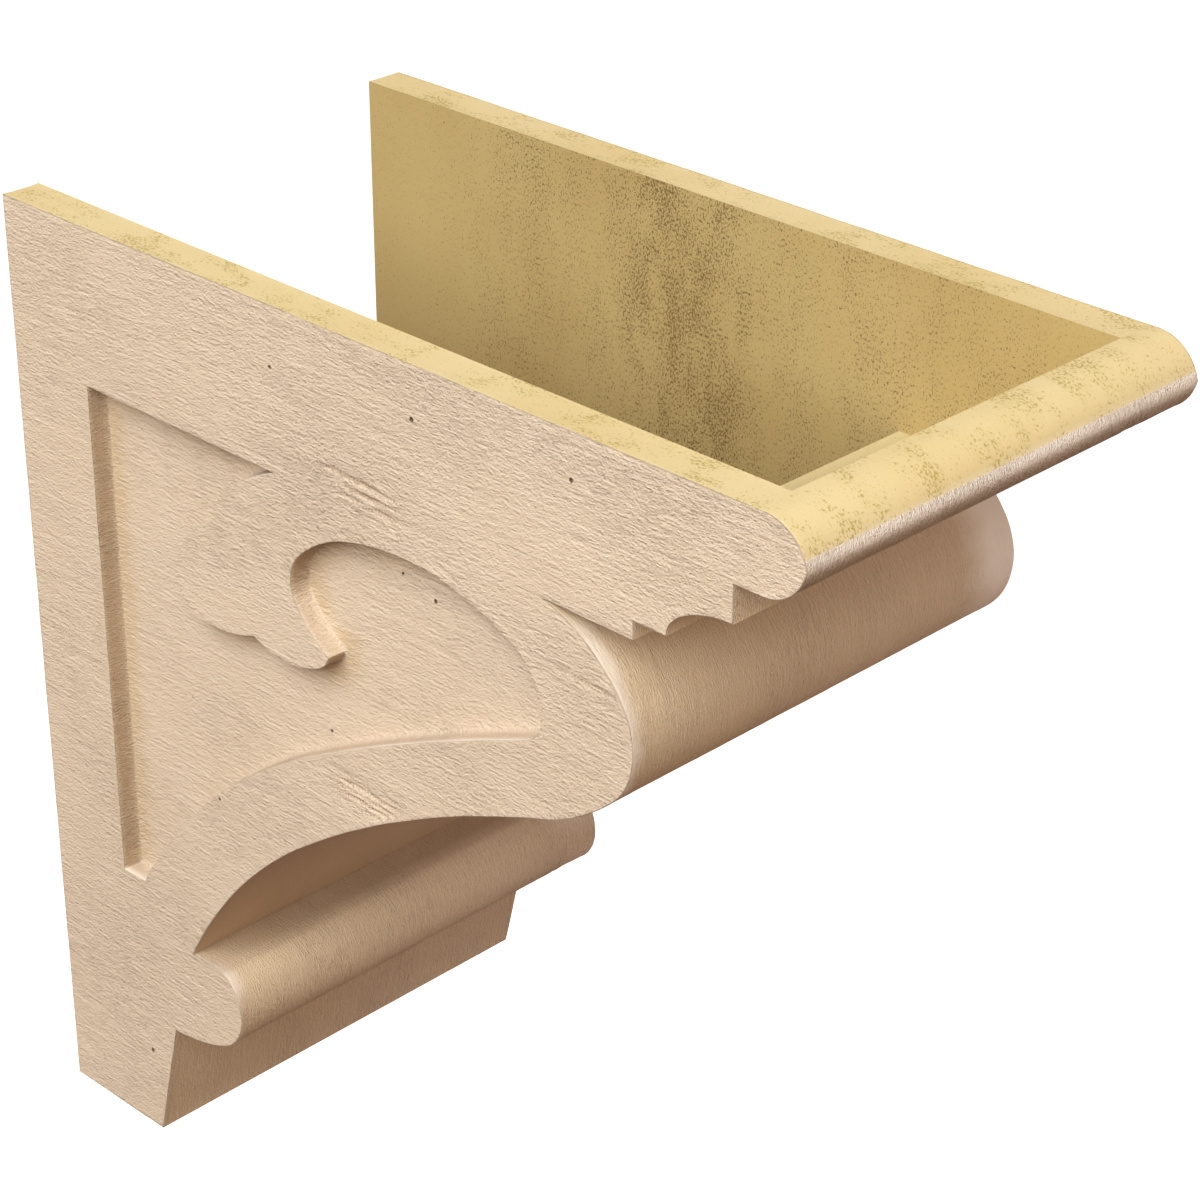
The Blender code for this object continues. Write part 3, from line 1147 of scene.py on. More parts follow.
@dataclass
class CheekPlan:
    """The flat layout of a cheek, worked out once and used for both sides, in inches.

    A pitch is the spacing of a face's own points along and across the grain, and a margin their
    least distance to its edges. Each grit band is a share and the depths it starts and ends at.
    """

    skin: Skin
    panel: SunkPanel
    hollow: Hollow
    face_pitch: Pair = (0.088, 0.052)
    face_margin: float = 0.030
    inner_pitch: Pair = (0.30, 0.26)
    inner_margin: float = 0.10
    panel_arris: Arris = Arris(radius=0.006, seed=23)
    fade_reach: float = 0.075
    warm_band: Pair = (0.03, 0.42)
    warm_wander: float = 0.12
    warm_size: Pair = (0.4, 0.22)
    warm_seed: int = 509
    least_grit: float = 0.10
    grit_gains: tuple[tuple[float, float, float], ...] = ((0.50, 0.7, 2.8), (0.40, 4.2, 4.7))
    grit_losses: tuple[tuple[float, float, float], ...] = ((0.45, 5.8, 6.6), (0.7, 9.8, 11.2))

    def __post_init__(self) -> None:
        """Lay out the cheek's face, its panel's floor and its inner face."""
        skin = self.skin
        self.outer = skin.loop + skin.normals * skin.radii[:, None]
        self.panel_loop = self.panel.loop()
        self.panel_normals = inward_normals(self.panel_loop)
        self.panel_travel = length_along(self.panel_loop)
        self.panel_radii = self.panel_arris.radii(self.panel_travel)
        self.panel_edge = self.panel_loop - self.panel_normals * self.panel_radii[:, None]
        self.fillets = self.panel.fillets(self.panel_loop)
        self.floor_edge = self.panel_loop + self.panel_normals * self.fillets[:, None]
        face_loops = [self.outer, self.panel_edge]
        free = staggered(face_loops, self.face_pitch, self.face_margin, FACE_PINHOLES,
                         LEFT_GOUGES + RIGHT_GOUGES)
        self.face_points, self.face_triangles = triangulate(face_loops, free)
        self.face_fade = self.fade(self.face_points, face_loops)
        floor_loops = [self.floor_edge]
        free = staggered(floor_loops, self.face_pitch, self.face_margin, FLOOR_PINHOLES)
        self.floor_points, self.floor_triangles = triangulate(floor_loops, free)
        self.floor_fade = self.fade(self.floor_points, floor_loops)
        inner_loop = self.inner_loop()
        free = staggered([inner_loop], self.inner_pitch, self.inner_margin)
        self.inner_points, self.inner_triangles = triangulate([inner_loop], free)

    def inner_loop(self) -> Array:
        """Return the inner face's outline: the hollow's line, then the cheek's rim and rear."""
        skin = self.skin
        loop = np.vstack([self.hollow.line(), skin.loop[skin.front_end + 1:]])
        off_wall = loop[:, 0] > ON_THE_LINE
        loop = loop[off_wall | (loop[:, 1] > skin.outline.wall - ON_THE_LINE)]
        return loop[:-1] if np.allclose(loop[-1], loop[0]) else loop

    def floor_warm_shade(self) -> Array:
        """Return the painted warm shade on the panel's floor: a band along its upper and rear walls,
        where their shade falls.

        A wall counts where it faces down or away from the wall plane, so the band runs up the
        rear wall, along the top and round the inside of the curl, and wanders in width.
        """
        outwards, upwards = self.panel_normals.T
        shaded = (upwards < -0.25) | ((outwards > 0.5) & (upwards < 0.6))
        walls = self.panel_loop[shaded]
        points = self.floor_points
        nearest = np.empty(len(points))
        for block in blocks(len(points)):
            away = points[block][:, None, :] - walls
            nearest[block] = np.sqrt((away**2).sum(2).min(1))
        wander = layered_noise(points[:, 0] / self.warm_size[0], points[:, 1] / self.warm_size[1],
                               self.warm_seed, 3)
        return 1 - smoothstep(nearest + self.warm_wander * wander, *self.warm_band)

    def grit_density(self) -> Array:
        """Return how much dark grit the bare inner face holds, by its distance from the wall.

        It rises from little at the wall to an edge about 4.5 inches out, where it is densest,
        and thins out again towards the front.
        """
        depth = self.inner_points[:, 0]
        density = np.full(len(depth), self.least_grit)
        for share, low, high in self.grit_gains:
            density = density + share * smoothstep(depth, low, high)
        for share, low, high in self.grit_losses:
            density = density * (1 - share * smoothstep(depth, low, high))
        return density

    def fade(self, points: Array, loops: list[Array]) -> Array:
        """Return 0 on the loops rising to 1 a little way in from them."""
        nearest = np.min([clearance(points, loop) for loop in loops], axis=0)
        return smoothstep(nearest, 0.0, self.fade_reach)


@dataclass(frozen=True)
class RoughPlace:
    """A place where the sawn face is rougher: its middle, its reach each way and the gain."""

    middle: Point
    reach: Pair
    gain: float

    def share(self, u: Array, v: Array) -> Array:
        """Return the gain, falling off as a bell curve both ways from the middle."""
        away_u = (u - self.middle[0]) / self.reach[0]
        away_v = (v - self.middle[1]) / self.reach[1]
        return self.gain * np.exp(-(away_u**2) - away_v**2)


@dataclass(frozen=True)
class SawnFace:
    """How rough the sawn face is, as a share of the relief's full depth."""

    least: float = 0.95
    above_leaf: RoughPlace = RoughPlace((5.3, 10.4), (1.5, 0.9), 0.35)
    low_on_cheek: RoughPlace = RoughPlace((1.3, 3.0), (1.2, 2.2), 0.2)
    patches: float = 0.15
    patch_size: Pair = (1.7, 1.3)
    seed: int = 401

    def roughness(self, u: Array, v: Array) -> Array:
        """Return the roughness: higher above the leaf scroll and low on the cheek, and patchy."""
        patch = smooth_noise(u / self.patch_size[0], v / self.patch_size[1], self.seed)
        rough = self.least + self.above_leaf.share(u, v) + self.low_on_cheek.share(u, v)
        return rough + self.patches * patch


@dataclass(frozen=True)
class WallTones:
    """How the panel's walls are painted with light and shade by the way they face: painted shade on
    walls facing sideways, down or back, a painted highlight on the brinks of walls facing up and a
    painted warm tint on the shaded ones.

    Each row list has a share for every row of a wall, from the cheek's face to the floor. A
    pair of directions is how far the wall faces up, or away from the wall plane, at which a
    tone starts and is full.
    """

    upright_rows: tuple[float, ...] = (0.0, 0.0, 0.0, 1.0, 1.0, 1.0, 0.6, 0.3, 0.0)
    brink_rows: tuple[float, ...] = (0.0, 0.6, 1.0, 0.7, 0.1, 0.0, 0.0, 0.0, 0.0)
    unshaded_from: Pair = (-0.05, 0.45)
    hidden_from: Pair = (0.55, 0.9)
    hidden_shade: float = 0.66
    brink_from: Pair = (0.84, 0.90)
    least_dark: float = 0.22
    shaded_dark: float = 0.16
    overhang_shade: float = 0.3
    overhang_from: Pair = (0.0, 0.7)
    brink_highlight: float = 0.6
    shaded_warm: float = 0.9
    crumbliness: float = 0.6

    def tone(self, normals: Array) -> Array:
        """Return the tones of the walls' rows, from the way each wall faces.

        Args:
            normals: (n, 2) step into the panel from each point of its loop.

        Returns:
            (n, rows, 4) tones.
        """
        outward, upward = normals[:, :1], normals[:, 1:]
        # painted light and shade by facing: shade on walls facing sideways, down or back, a
        # highlight on brinks facing up, a warm tint on the shaded walls
        shaded = 1 - smoothstep(upward, *self.unshaded_from)
        hidden = self.hidden_shade * smoothstep(-outward, *self.hidden_from)
        worn_and_lit = smoothstep(upward, *self.brink_from) * np.array(self.brink_rows)
        deep = self.least_dark + self.shaded_dark * shaded
        deep = deep + self.overhang_shade * smoothstep(-upward, *self.overhang_from)
        return tones(worn_and_lit.shape, sunk=np.maximum(deep, hidden) * np.array(self.upright_rows),
                     worn_and_lit=self.brink_highlight * worn_and_lit, warm=self.shaded_warm * shaded,
                     coarse=1.0 + self.crumbliness * shaded - self.crumbliness * worn_and_lit)


@dataclass(frozen=True)
class Cheek:
    """One side of the corbel, 1/2 inch thick, with the sunk panel and its leaf scroll."""

    plan: CheekPlan
    side: Side
    gouges: tuple[Gouge, ...]
    sawn: SawnFace = SawnFace()
    gouge_shade: float = 0.9
    gouge_tone: Pair = (0.007, 0.034)
    floor_share: float = 0.85
    wall_rows: tuple[float, ...] = (0.25, 0.5, 0.75)
    wall_unevenness: float = 0.012
    wall_size: float = 0.11
    wall_seed: int = 71
    row_grain: float = 0.05
    row_shift: float = 20.0
    join: float = 0.1
    end_reach: float = 0.15

    @property
    def sign(self) -> int:
        """Sign of the widths on this side."""
        return self.side.value

    @property
    def shift(self) -> float:
        """Place on the grain where this cheek begins, so that the two cheeks differ."""
        return 150.0 + 50.0 * self.sign

    def flat(self, layout: tuple[Array, Array], level: float, depth: Array, tone: Array,
             finish: Finish) -> Patch:
        """Stand a flat layout up at a width and sink its relief.

        Args:
            layout: (n, 2) places in the side view, and triangles as rows of point numbers.
            level: distance of the face from the corbel's middle.
            depth: (n,) depths below the face, positive towards the cheek's own material.
            tone: (n, 4) tones of the face.
            finish: the face's finish.

        Returns:
            The patch.
        """
        points, triangles = layout
        width = self.sign * (level - depth)
        places = np.column_stack((width, points))
        grain = points + (self.shift, 0.0)
        return Patch(places, triangles, grain, tone, np.full(len(triangles), finish.value))

    def face(self) -> Patch:
        """Return the cheek's face round the panel, with its saw marks and pinholes."""
        plan = self.plan
        u, v = plan.face_points.T
        rough = self.sawn.roughness(u, v)
        marks = layers_sunk(self.gouges, u, v) * plan.face_fade
        holes, dark = pinholed(FACE_PINHOLES, plan.face_points)
        depth = layers_sunk(SKIN_LAYERS, u + self.shift, v) * rough * plan.face_fade + marks + holes
        layout = (plan.face_points, plan.face_triangles)
        # painted shade: gouges darkened by their depth, pinholes inside their rims
        sunk = np.maximum(self.gouge_shade * depth_shade(marks, *self.gouge_tone), dark)
        tone = tones(u.shape, sunk=sunk, coarse=rough)
        return self.flat(layout, plan.skin.half_width, depth, tone, Finish.PRIMED)

    def floor(self) -> Patch:
        """Return the panel's floor, a little smoother than the face."""
        plan = self.plan
        u, v = plan.floor_points.T
        rough = self.floor_share * self.sawn.roughness(u, v)
        holes, dark = pinholed(FLOOR_PINHOLES, plan.floor_points)
        depth = layers_sunk(SKIN_LAYERS, u + self.shift, v) * rough * plan.floor_fade + holes
        level = plan.skin.half_width - plan.panel.sunk
        layout = (plan.floor_points, plan.floor_triangles)
        # painted shade in the pinholes, and painted warm shade in a band along the panel's upper and
        # rear walls
        tone = tones(u.shape, sunk=dark, warm=plan.floor_warm_shade(), coarse=rough)
        return self.flat(layout, level, depth, tone, Finish.PRIMED)

    def inner(self) -> Patch:
        """Return the cheek's inner face, bare foam."""
        plan = self.plan
        depth = np.zeros(len(plan.inner_points))
        layout = (plan.inner_points, plan.inner_triangles)
        tone = tones(depth.shape, warm=plan.grit_density())
        return self.flat(layout, plan.skin.half_hollow, depth, tone, Finish.INNER_FOAM)

    def arris(self) -> Patch:
        """Return the rounded edge between the cheek's face and the rest of its outline."""
        skin = self.plan.skin
        rows = []
        for inset, drop in Arris.turn():
            side = skin.loop + skin.normals * (skin.radii * inset)[:, None]
            rows.append(np.column_stack((skin.half_width - skin.radii * drop, side)))
        return self.ring(rows, skin.travel[:-1], tones((len(skin.loop), len(rows))))

    def walls(self) -> Patch:
        """Return the panel's walls, rounded over at the face and filleted at the floor.

        Going down, the rows follow a quarter turn over the arris, then the upright wall, then a
        quarter turn out onto the floor.
        """
        plan = self.plan
        loop, normals, radii = plan.panel_loop, plan.panel_normals, plan.panel_radii
        face = plan.skin.half_width
        floor = face - plan.panel.sunk
        rows = []
        for drop, inset in Arris.turn():
            side = loop - normals * (radii * inset)[:, None]
            rows.append(np.column_stack((face - radii * drop, side)))
        for share in self.wall_rows:
            level = (face - radii) * (1 - share) + (floor + plan.fillets) * share
            across = np.full(len(radii), share * len(self.wall_rows))
            noise = layered_noise(plan.panel_travel / self.wall_size, across, self.wall_seed, 2)
            sunk = np.abs(self.wall_unevenness * np.clip(noise, -1, 1))
            rows.append(np.column_stack((level, loop - normals * sunk[:, None])))
        for inset, rise in Arris.turn():
            side = loop + normals * (plan.fillets * inset)[:, None]
            rows.append(np.column_stack((floor + plan.fillets * rise, side)))
        return self.ring(rows, plan.panel_travel, WallTones().tone(normals), crosswise=True)

    def ring(self, rows: list[Array], travel: Array, tone: Array, crosswise: bool = False) -> Patch:
        """Join rows that each go once round a closed loop.

        Args:
            rows: each (n, 3), with widths as if on the right side.
            travel: (n,) lengths round the loop.
            tone: (n, rows, 4) tones.
            crosswise: whether the grain runs across the ring and not round it.

        Returns:
            The patch.
        """
        grid = np.stack([np.vstack([row, row[:1]]) for row in rows], 1)
        grid[:, :, 0] *= self.sign
        along = np.append(travel, travel[-1] + self.join)[:, None] + self.shift
        across = np.arange(len(rows)) * self.row_grain + self.row_shift
        grain = np.stack(np.broadcast_arrays(along, across), 2)
        if crosswise:
            grain = grain[:, :, ::-1]
        closed = np.concatenate((tone, tone[:1]))
        return Patch.grid(grid, grain, closed, np.full(len(travel), Finish.PRIMED.value))

    def rim_and_rear(self) -> Patch:
        """Return the cheek's flat top and rear edge, sawn clean to bare foam."""
        skin = self.plan.skin
        index = np.append(np.arange(skin.front_end, len(skin.loop)), 0)
        line = skin.loop[index]
        inner = skin.edge_columns()
        ends = (skin.half_width - skin.radii[index])[:, None]
        widths = np.concatenate((np.broadcast_to(inner, (len(line), len(inner))), ends), 1)
        along = np.broadcast_to(length_along(line)[:, None], widths.shape)
        inset = np.minimum(ends - widths, widths - skin.half_hollow)
        level = smoothstep(inset, 0.0, 0.1) * smoothstep(along, 0.0, self.end_reach)
        level = level * smoothstep(along[-1] - along, 0.0, self.end_reach)
        depth = layers_sunk(FOAM_LAYERS, along + self.shift, widths) * level
        side = line[:, None, :] + skin.normals[index, None, :] * depth[:, :, None]
        points = np.concatenate((self.sign * widths[:, :, None], side), 2)
        grain = np.stack((along + self.shift, widths), 2)
        finish = np.full(len(line) - 1, Finish.RIM_FOAM.value)
        return Patch.grid(points, grain, tones(widths.shape), finish)


@dataclass(frozen=True)
class FloorEdge:
    """The floor board's rear edge, between the cheeks' rear edges."""

    skin: Skin
    grain_shift: float = 300.0

    def patch(self) -> Patch:
        """Return the strip, whose heights are those of the cheeks' rear edges beside it."""
        skin = self.skin
        rear = skin.loop[skin.rim_end:]
        low = rear[rear[:, 1] < skin.outline.wall + ON_THE_LINE, 1]
        width, height = np.meshgrid(skin.hollow_columns(), np.append(low, 0.0))
        points = np.stack((width, np.zeros_like(width), height), 2)
        grain = np.stack((width + self.grain_shift, height), 2)
        finish = np.full(len(low), Finish.RIM_FOAM.value)
        return Patch.grid(points, grain, tones(width.shape), finish)


# Materials

Value = bpy.types.NodeSocket | float | tuple


class Recipe:
    """A material's node tree, with short helpers so that a finish reads as a list of steps.

    The colour sockets are the Mix node's share, first and second colour, by number.
    """

    colour_sockets = (0, 6, 7)
    colour_output = 2

    def __init__(self, name: str):
        """Start a material that holds only its Principled shader.

        Args:
            name: the material's name.
        """
        self.material = bpy.data.materials.new(name)
        self.material.use_nodes = True
        self.nodes = self.material.node_tree.nodes
        self.shader = self.nodes["Principled BSDF"]

    def add(self, kind: str, settings: dict | None = None, **inputs: Value) -> bpy.types.Node:
        """Add a node.

        Args:
            kind: the node's type name without its ShaderNode prefix.
            settings: properties of the node.
            inputs: sockets by name, with _ for a space, each a value or an output to link.

        Returns:
            The node.
        """
        node = self.nodes.new("ShaderNode" + kind)
        for key, value in (settings or {}).items():
            setattr(node, key, value)
        for key, value in inputs.items():
            self.feed(node.inputs[key.replace("_", " ")], value)
        return node

    def feed(self, socket: bpy.types.NodeSocket, value: Value) -> None:
        """Set a socket's value, or link an output to it."""
        if isinstance(value, bpy.types.NodeSocket):
            self.material.node_tree.links.new(value, socket)
        else:
            socket.default_value = value

    def grain(self, along: float, across: float, rise: float = 0.0) -> bpy.types.NodeSocket:
        """Return the place on the grain, or a rise of inches across it, in units of a pattern.

        Along and across are how many units of the pattern there are to an inch each way.
        """
        place = self.add("UVMap", {"uv_map": "grain"}).outputs["UV"]
        node = self.add("Mapping", Vector=place, Scale=(along, across, 1.0),
                        Location=(0.0, rise * across, 0.0))
        return node.outputs["Vector"]

    def noise(self, place: bpy.types.NodeSocket, scale: float, detail: float = 2.0,
              roughness: float = 0.55) -> bpy.types.NodeSocket:
        """Return a noise from 0 to 1 at a place."""
        node = self.add("TexNoise", {"noise_dimensions": "3D"}, Vector=place, Scale=scale,
                        Detail=detail, Roughness=roughness)
        return node.outputs["Fac"]

    def ramp(self, value: bpy.types.NodeSocket, low: float, high: float, start: float = 0.0,
             end: float = 1.0) -> bpy.types.NodeSocket:
        """Return the value spread from start to end as it goes from low to high, and held there."""
        node = self.add("MapRange", {"interpolation_type": "SMOOTHSTEP"}, Value=value,
                        From_Min=low, From_Max=high, To_Min=start, To_Max=end)
        return node.outputs["Result"]

    def maths(self, operation: str, first: Value, second: Value = 0.0) -> bpy.types.NodeSocket:
        """Return one number worked out from two."""
        node = self.add("Math", {"operation": operation})
        self.feed(node.inputs[0], first)
        self.feed(node.inputs[1], second)
        return node.outputs["Value"]

    def mix(self, share: Value, under: Value, over: Value) -> bpy.types.NodeSocket:
        """Return two colours mixed, the share being how much of the second shows."""
        node = self.add("Mix", {"data_type": "RGBA"})
        for socket, value in zip(self.colour_sockets, (share, under, over)):
            self.feed(node.inputs[socket], value)
        return node.outputs[self.colour_output]

    def shown(self, share: Value, most: float, under: Value, over: Colour) -> bpy.types.NodeSocket:
        """Return a colour laid over another, at most so much of it showing."""
        return self.mix(self.maths("MULTIPLY", share, most), under, opaque(over))

    def attribute(self, name: str) -> bpy.types.NodeSocket:
        """Return a number that the mesh holds at each corner."""
        return self.add("Attribute", {"attribute_name": name}).outputs["Fac"]

    def bump(self, height: Value, strength: float, distance: float) -> bpy.types.NodeSocket:
        """Return a normal roughened by a height."""
        node = self.add("Bump", Height=height, Strength=strength, Distance=distance)
        return node.outputs["Normal"]

    def finish(self, colour: Value, roughness: Value, normal: Value) -> bpy.types.Material:
        """Join the recipe's results to the shader and return the material."""
        self.feed(self.shader.inputs["Base Color"], colour)
        self.feed(self.shader.inputs["Roughness"], roughness)
        self.feed(self.shader.inputs["Normal"], normal)
        return self.material


def opaque(colour: Colour) -> tuple[float, float, float, float]:
    """Return a colour with full alpha."""
    return (*colour, 1.0)


@dataclass(frozen=True)
class PrimedFinish:
    """Matt tan primer over crumbly, rough-sawn relief, with light and shade painted into its colour.

    A size is how many units of a pattern there are to an inch along and across the grain, a
    weight is a pattern's part in the relief's height, and a share is how much of a colour shows
    where there is most of it.
    """

    tan: Colour = (0.722, 0.566, 0.427)
    # pale: rubbed wear, and painted light on the front's ends, the bead's lip and walls facing up
    pale: Colour = (0.91, 0.83, 0.765)
    # painted highlight on the upper sides of the relief's little lumps
    crumb_highlight: Colour = (0.82, 0.685, 0.555)
    shade: Colour = (0.63, 0.475, 0.335)
    # painted warm light and painted warm shade
    yellow: Colour = (0.565, 0.405, 0.235)
    # painted shade: under the lumps, in furrows, in the relief's lows and hollows
    shade_brown: Colour = (0.40, 0.27, 0.18)
    # painted shade deep in the pinholes
    pit: Colour = (0.13, 0.08, 0.05)
    specular: float = 0.2
    crumb_size: Pair = (11.0, 30.0)
    ridge_size: Pair = (1.7, 15.0)
    grit_size: Pair = (40.0, 60.0)
    patch_size: Pair = (0.45, 0.8)
    crumb_weight: float = 0.54
    ridge_weight: float = 0.32
    grit_weight: float = 0.40
    furrow_weight: float = 0.12
    furrow_width: float = 0.022
    furrow_patches: tuple[float, float, float, float] = (0.42, 0.62, 0.1, 0.8)
    rise: float = 0.018
    tone_scale: float = 24.0
    wear_smooths: float = 0.75
    shade_share: float = 0.22
    yellow_share: float = 0.8
    pale_share: float = 0.85
    highlight_share: float = 0.46
    underside_shade_share: float = 0.30
    furrow_shade_share: float = 0.34
    low_shade_share: float = 0.5
    sunk_shade_share: float = 0.9
    pit_share: float = 0.8
    bump_distance: float = 0.0011

    def relief(self, recipe: Recipe, rise: float = 0.0) -> tuple:
        """Return the skin's height and its long furrows, at a place or a rise across the grain.

        Crumbs, long ridges along the grain and a fine grit are summed. A furrow is a thin line
        where the ridges' noise passes through its middle, and it shows in some patches only.

        Args:
            recipe: the material's recipe.
            rise: how far across the grain the height is taken, in inches.

        Returns:
            The height, about zero at its middle, and the furrows from 0 to 1.
        """
        crumbs = recipe.noise(recipe.grain(*self.crumb_size, rise), 1.0, 3.0, 0.66)
        ridges = recipe.noise(recipe.grain(*self.ridge_size, rise), 1.0, 3.0, 0.6)
        grit = recipe.noise(recipe.grain(*self.grit_size, rise), 1.0, 1.0)
        patches = recipe.noise(recipe.grain(*self.patch_size), 1.0, 2.0)
        off_line = recipe.maths("ABSOLUTE", recipe.maths("SUBTRACT", ridges, 0.5))
        line = recipe.maths("MULTIPLY", recipe.ramp(off_line, self.furrow_width, 0.0),
                            recipe.ramp(patches, *self.furrow_patches))
        weighed = ((crumbs, self.crumb_weight), (ridges, self.ridge_weight),
                   (grit, self.grit_weight))
        lifts = [recipe.maths("MULTIPLY", recipe.maths("SUBTRACT", noise, 0.5), weight)
                 for noise, weight in weighed]
        height = recipe.maths("ADD", recipe.maths("ADD", lifts[0], lifts[1]), lifts[2])
        furrow = recipe.maths("MULTIPLY", line, self.furrow_weight)
        return recipe.maths("SUBTRACT", height, furrow), line

    def material(self) -> bpy.types.Material:
        """Build the material.

        The relief roughens the normal. Light from above is painted into the colour: a painted
        highlight on each little lump's upper side and painted shade on its lower side, which the
        height's change over a short rise tells apart. Painted shade darkens furrows, the relief's
        lows, hollows and most of all pinholes; rubbed wear and painted light are paler, and
        painted warm light and shade are yellower.
        """
        recipe = Recipe("primed_skin")
        place = recipe.add("TexCoord").outputs["Object"]
        tone = recipe.noise(place, self.tone_scale, 3.0)
        sunk, worn_and_lit, warm, coarse = (recipe.attribute(name) for name in TONES)
        raw, line = self.relief(recipe)
        above, _ = self.relief(recipe, self.rise)
        smooth = recipe.maths("SUBTRACT", 1.0, recipe.maths("MULTIPLY", worn_and_lit, self.wear_smooths))
        crumbly = recipe.maths("MULTIPLY", coarse, smooth)
        height = recipe.maths("MULTIPLY", raw, crumbly)
        upper = recipe.maths("MULTIPLY", recipe.maths("SUBTRACT", raw, above), crumbly)

        cloudy = recipe.ramp(tone, 0.35, 0.68, 0.0, self.shade_share)
        # painted highlight on upper sides and painted shade on lower sides, as if lit from above
        highlighted_sides = recipe.ramp(upper, 0.0, 0.10, 0.0, self.highlight_share)
        shaded_undersides = recipe.ramp(upper, -0.02, -0.12, 0.0, self.underside_shade_share)
        # painted shade in the relief's lows
        low = recipe.ramp(height, -0.08, -0.19, 0.0, self.low_shade_share)
        colour = recipe.mix(cloudy, opaque(self.tan), opaque(self.shade))
        # yellowed by painted warm light and shade, and paled by rubbed wear and painted light
        colour = recipe.shown(warm, self.yellow_share, colour, self.yellow)
        colour = recipe.shown(worn_and_lit, self.pale_share, colour, self.pale)
        colour = recipe.mix(highlighted_sides, colour, opaque(self.crumb_highlight))
        colour = recipe.mix(shaded_undersides, colour, opaque(self.shade_brown))
        # painted shade in the furrows
        colour = recipe.shown(line, self.furrow_shade_share, colour, self.shade_brown)
        colour = recipe.mix(low, colour, opaque(self.shade_brown))
        # painted shade from the sunk tone, nearly black deep in the pinholes
        colour = recipe.shown(sunk, self.sunk_shade_share, colour, self.shade_brown)
        deepest = recipe.ramp(sunk, 0.8, 1.0, 0.0, self.pit_share)
        colour = recipe.mix(deepest, colour, opaque(self.pit))

        normal = recipe.bump(height, 1.0, self.bump_distance)
        roughness = recipe.ramp(height, -0.2, 0.2, 0.92, 0.80)
        recipe.shader.inputs["Specular IOR Level"].default_value = self.specular
        return recipe.finish(colour, roughness, normal)


@dataclass(frozen=True)
class FoamFinish:
    """Bare pale yellow foam with specks of darker grit in loose clusters.

    A size is how many units of a pattern there are to an inch along and across the grain.
    Where specks gather by tone, the clusters and the mesh's own tone decide together.
    """

    name: str
    base: Colour
    deep: Colour
    speck: Colour
    paler: Colour
    cluster: Pair
    speck_size: Pair
    share: Pair
    gathered_by_tone: bool = False
    tone_gain: float = 1.15
    grit_size: Pair = (32.0, 32.0)
    cloud_scale: float = 16.0
    cloud_share: float = 0.8
    speck_level: float = 0.63
    level_drop: float = 0.14
    speck_edge: float = 0.055
    speck_share: float = 0.9
    haze_share: float = 0.08
    bump_distance: float = 0.0004
    specular: float = 0.3

    def gathered(self, recipe: Recipe) -> bpy.types.NodeSocket:
        """Return how thickly the specks lie, from 0 to about 1."""
        clusters = recipe.noise(recipe.grain(*self.cluster), 1.0, 4.0, 0.68)
        gathered = recipe.ramp(clusters, *self.share)
        if self.gathered_by_tone:
            gathered = recipe.maths("ADD", recipe.maths("MULTIPLY", gathered, 0.55), 0.45)
            gathered = recipe.maths("MULTIPLY", gathered, recipe.attribute("warm"))
            gathered = recipe.maths("MULTIPLY", gathered, self.tone_gain)
        return gathered

    def material(self) -> bpy.types.Material:
        """Build the material.

        A cluster noise lowers the level above which a fine noise shows as a speck, so the
        specks gather in patches. A soft haze of the specks' colour lies under the thickest
        patches, and places with the paleness tone are paler: a painted highlight on the ledge
        behind the scroll and at the bead's lip.
        """
        recipe = Recipe(self.name)
        place = recipe.add("TexCoord").outputs["Object"]
        tone = recipe.noise(place, self.cloud_scale, 2.0)
        specks = recipe.noise(recipe.grain(*self.speck_size), 1.0, 3.0, 0.72)
        grit = recipe.noise(recipe.grain(*self.grit_size), 1.0, 2.0)
        gathered = self.gathered(recipe)
        lowered = recipe.maths("ADD", specks, recipe.maths("MULTIPLY", gathered, self.level_drop))
        edge = recipe.maths("SUBTRACT", lowered, self.speck_level)
        marks = recipe.ramp(edge, 0.0, self.speck_edge, 0.0, self.speck_share)

        colour = recipe.mix(recipe.ramp(tone, 0.35, 0.65, 0.0, self.cloud_share),
                            opaque(self.base), opaque(self.deep))
        # painted highlight where the paleness tone is set, on the ledge and at the lip
        colour = recipe.mix(recipe.attribute("worn_and_lit"), colour, opaque(self.paler))
        colour = recipe.shown(gathered, self.haze_share, colour, self.speck)
        colour = recipe.mix(marks, colour, opaque(self.speck))

        height = recipe.maths("SUBTRACT", recipe.maths("MULTIPLY", grit, 0.6), marks)
        normal = recipe.bump(height, 0.25, self.bump_distance)
        roughness = recipe.ramp(grit, 0.3, 0.7, 0.72, 0.86)
        recipe.shader.inputs["Specular IOR Level"].default_value = self.specular
        return recipe.finish(colour, roughness, normal)


RIM_FOAM = FoamFinish("rim_foam", base=(0.73, 0.585, 0.32), deep=(0.69, 0.535, 0.265),
                      speck=(0.44, 0.33, 0.095), paler=(0.78, 0.64, 0.40), cluster=(1.5, 2.2),
                      speck_size=(26.0, 30.0), share=(0.42, 0.66))
# The inner foam is the rim's foam made darker and more olive: partly the foam's own deeper tone,
# partly painted shade of the hollow.
INNER_FOAM = FoamFinish("inner_foam", base=(0.49, 0.355, 0.148), deep=(0.455, 0.32, 0.128),
                        speck=(0.16, 0.095, 0.03), paler=(0.70, 0.57, 0.31),
                        cluster=(2.2, 0.8), speck_size=(42.0, 27.0), share=(0.36, 0.64),
                        gathered_by_tone=True)


# The finished piece


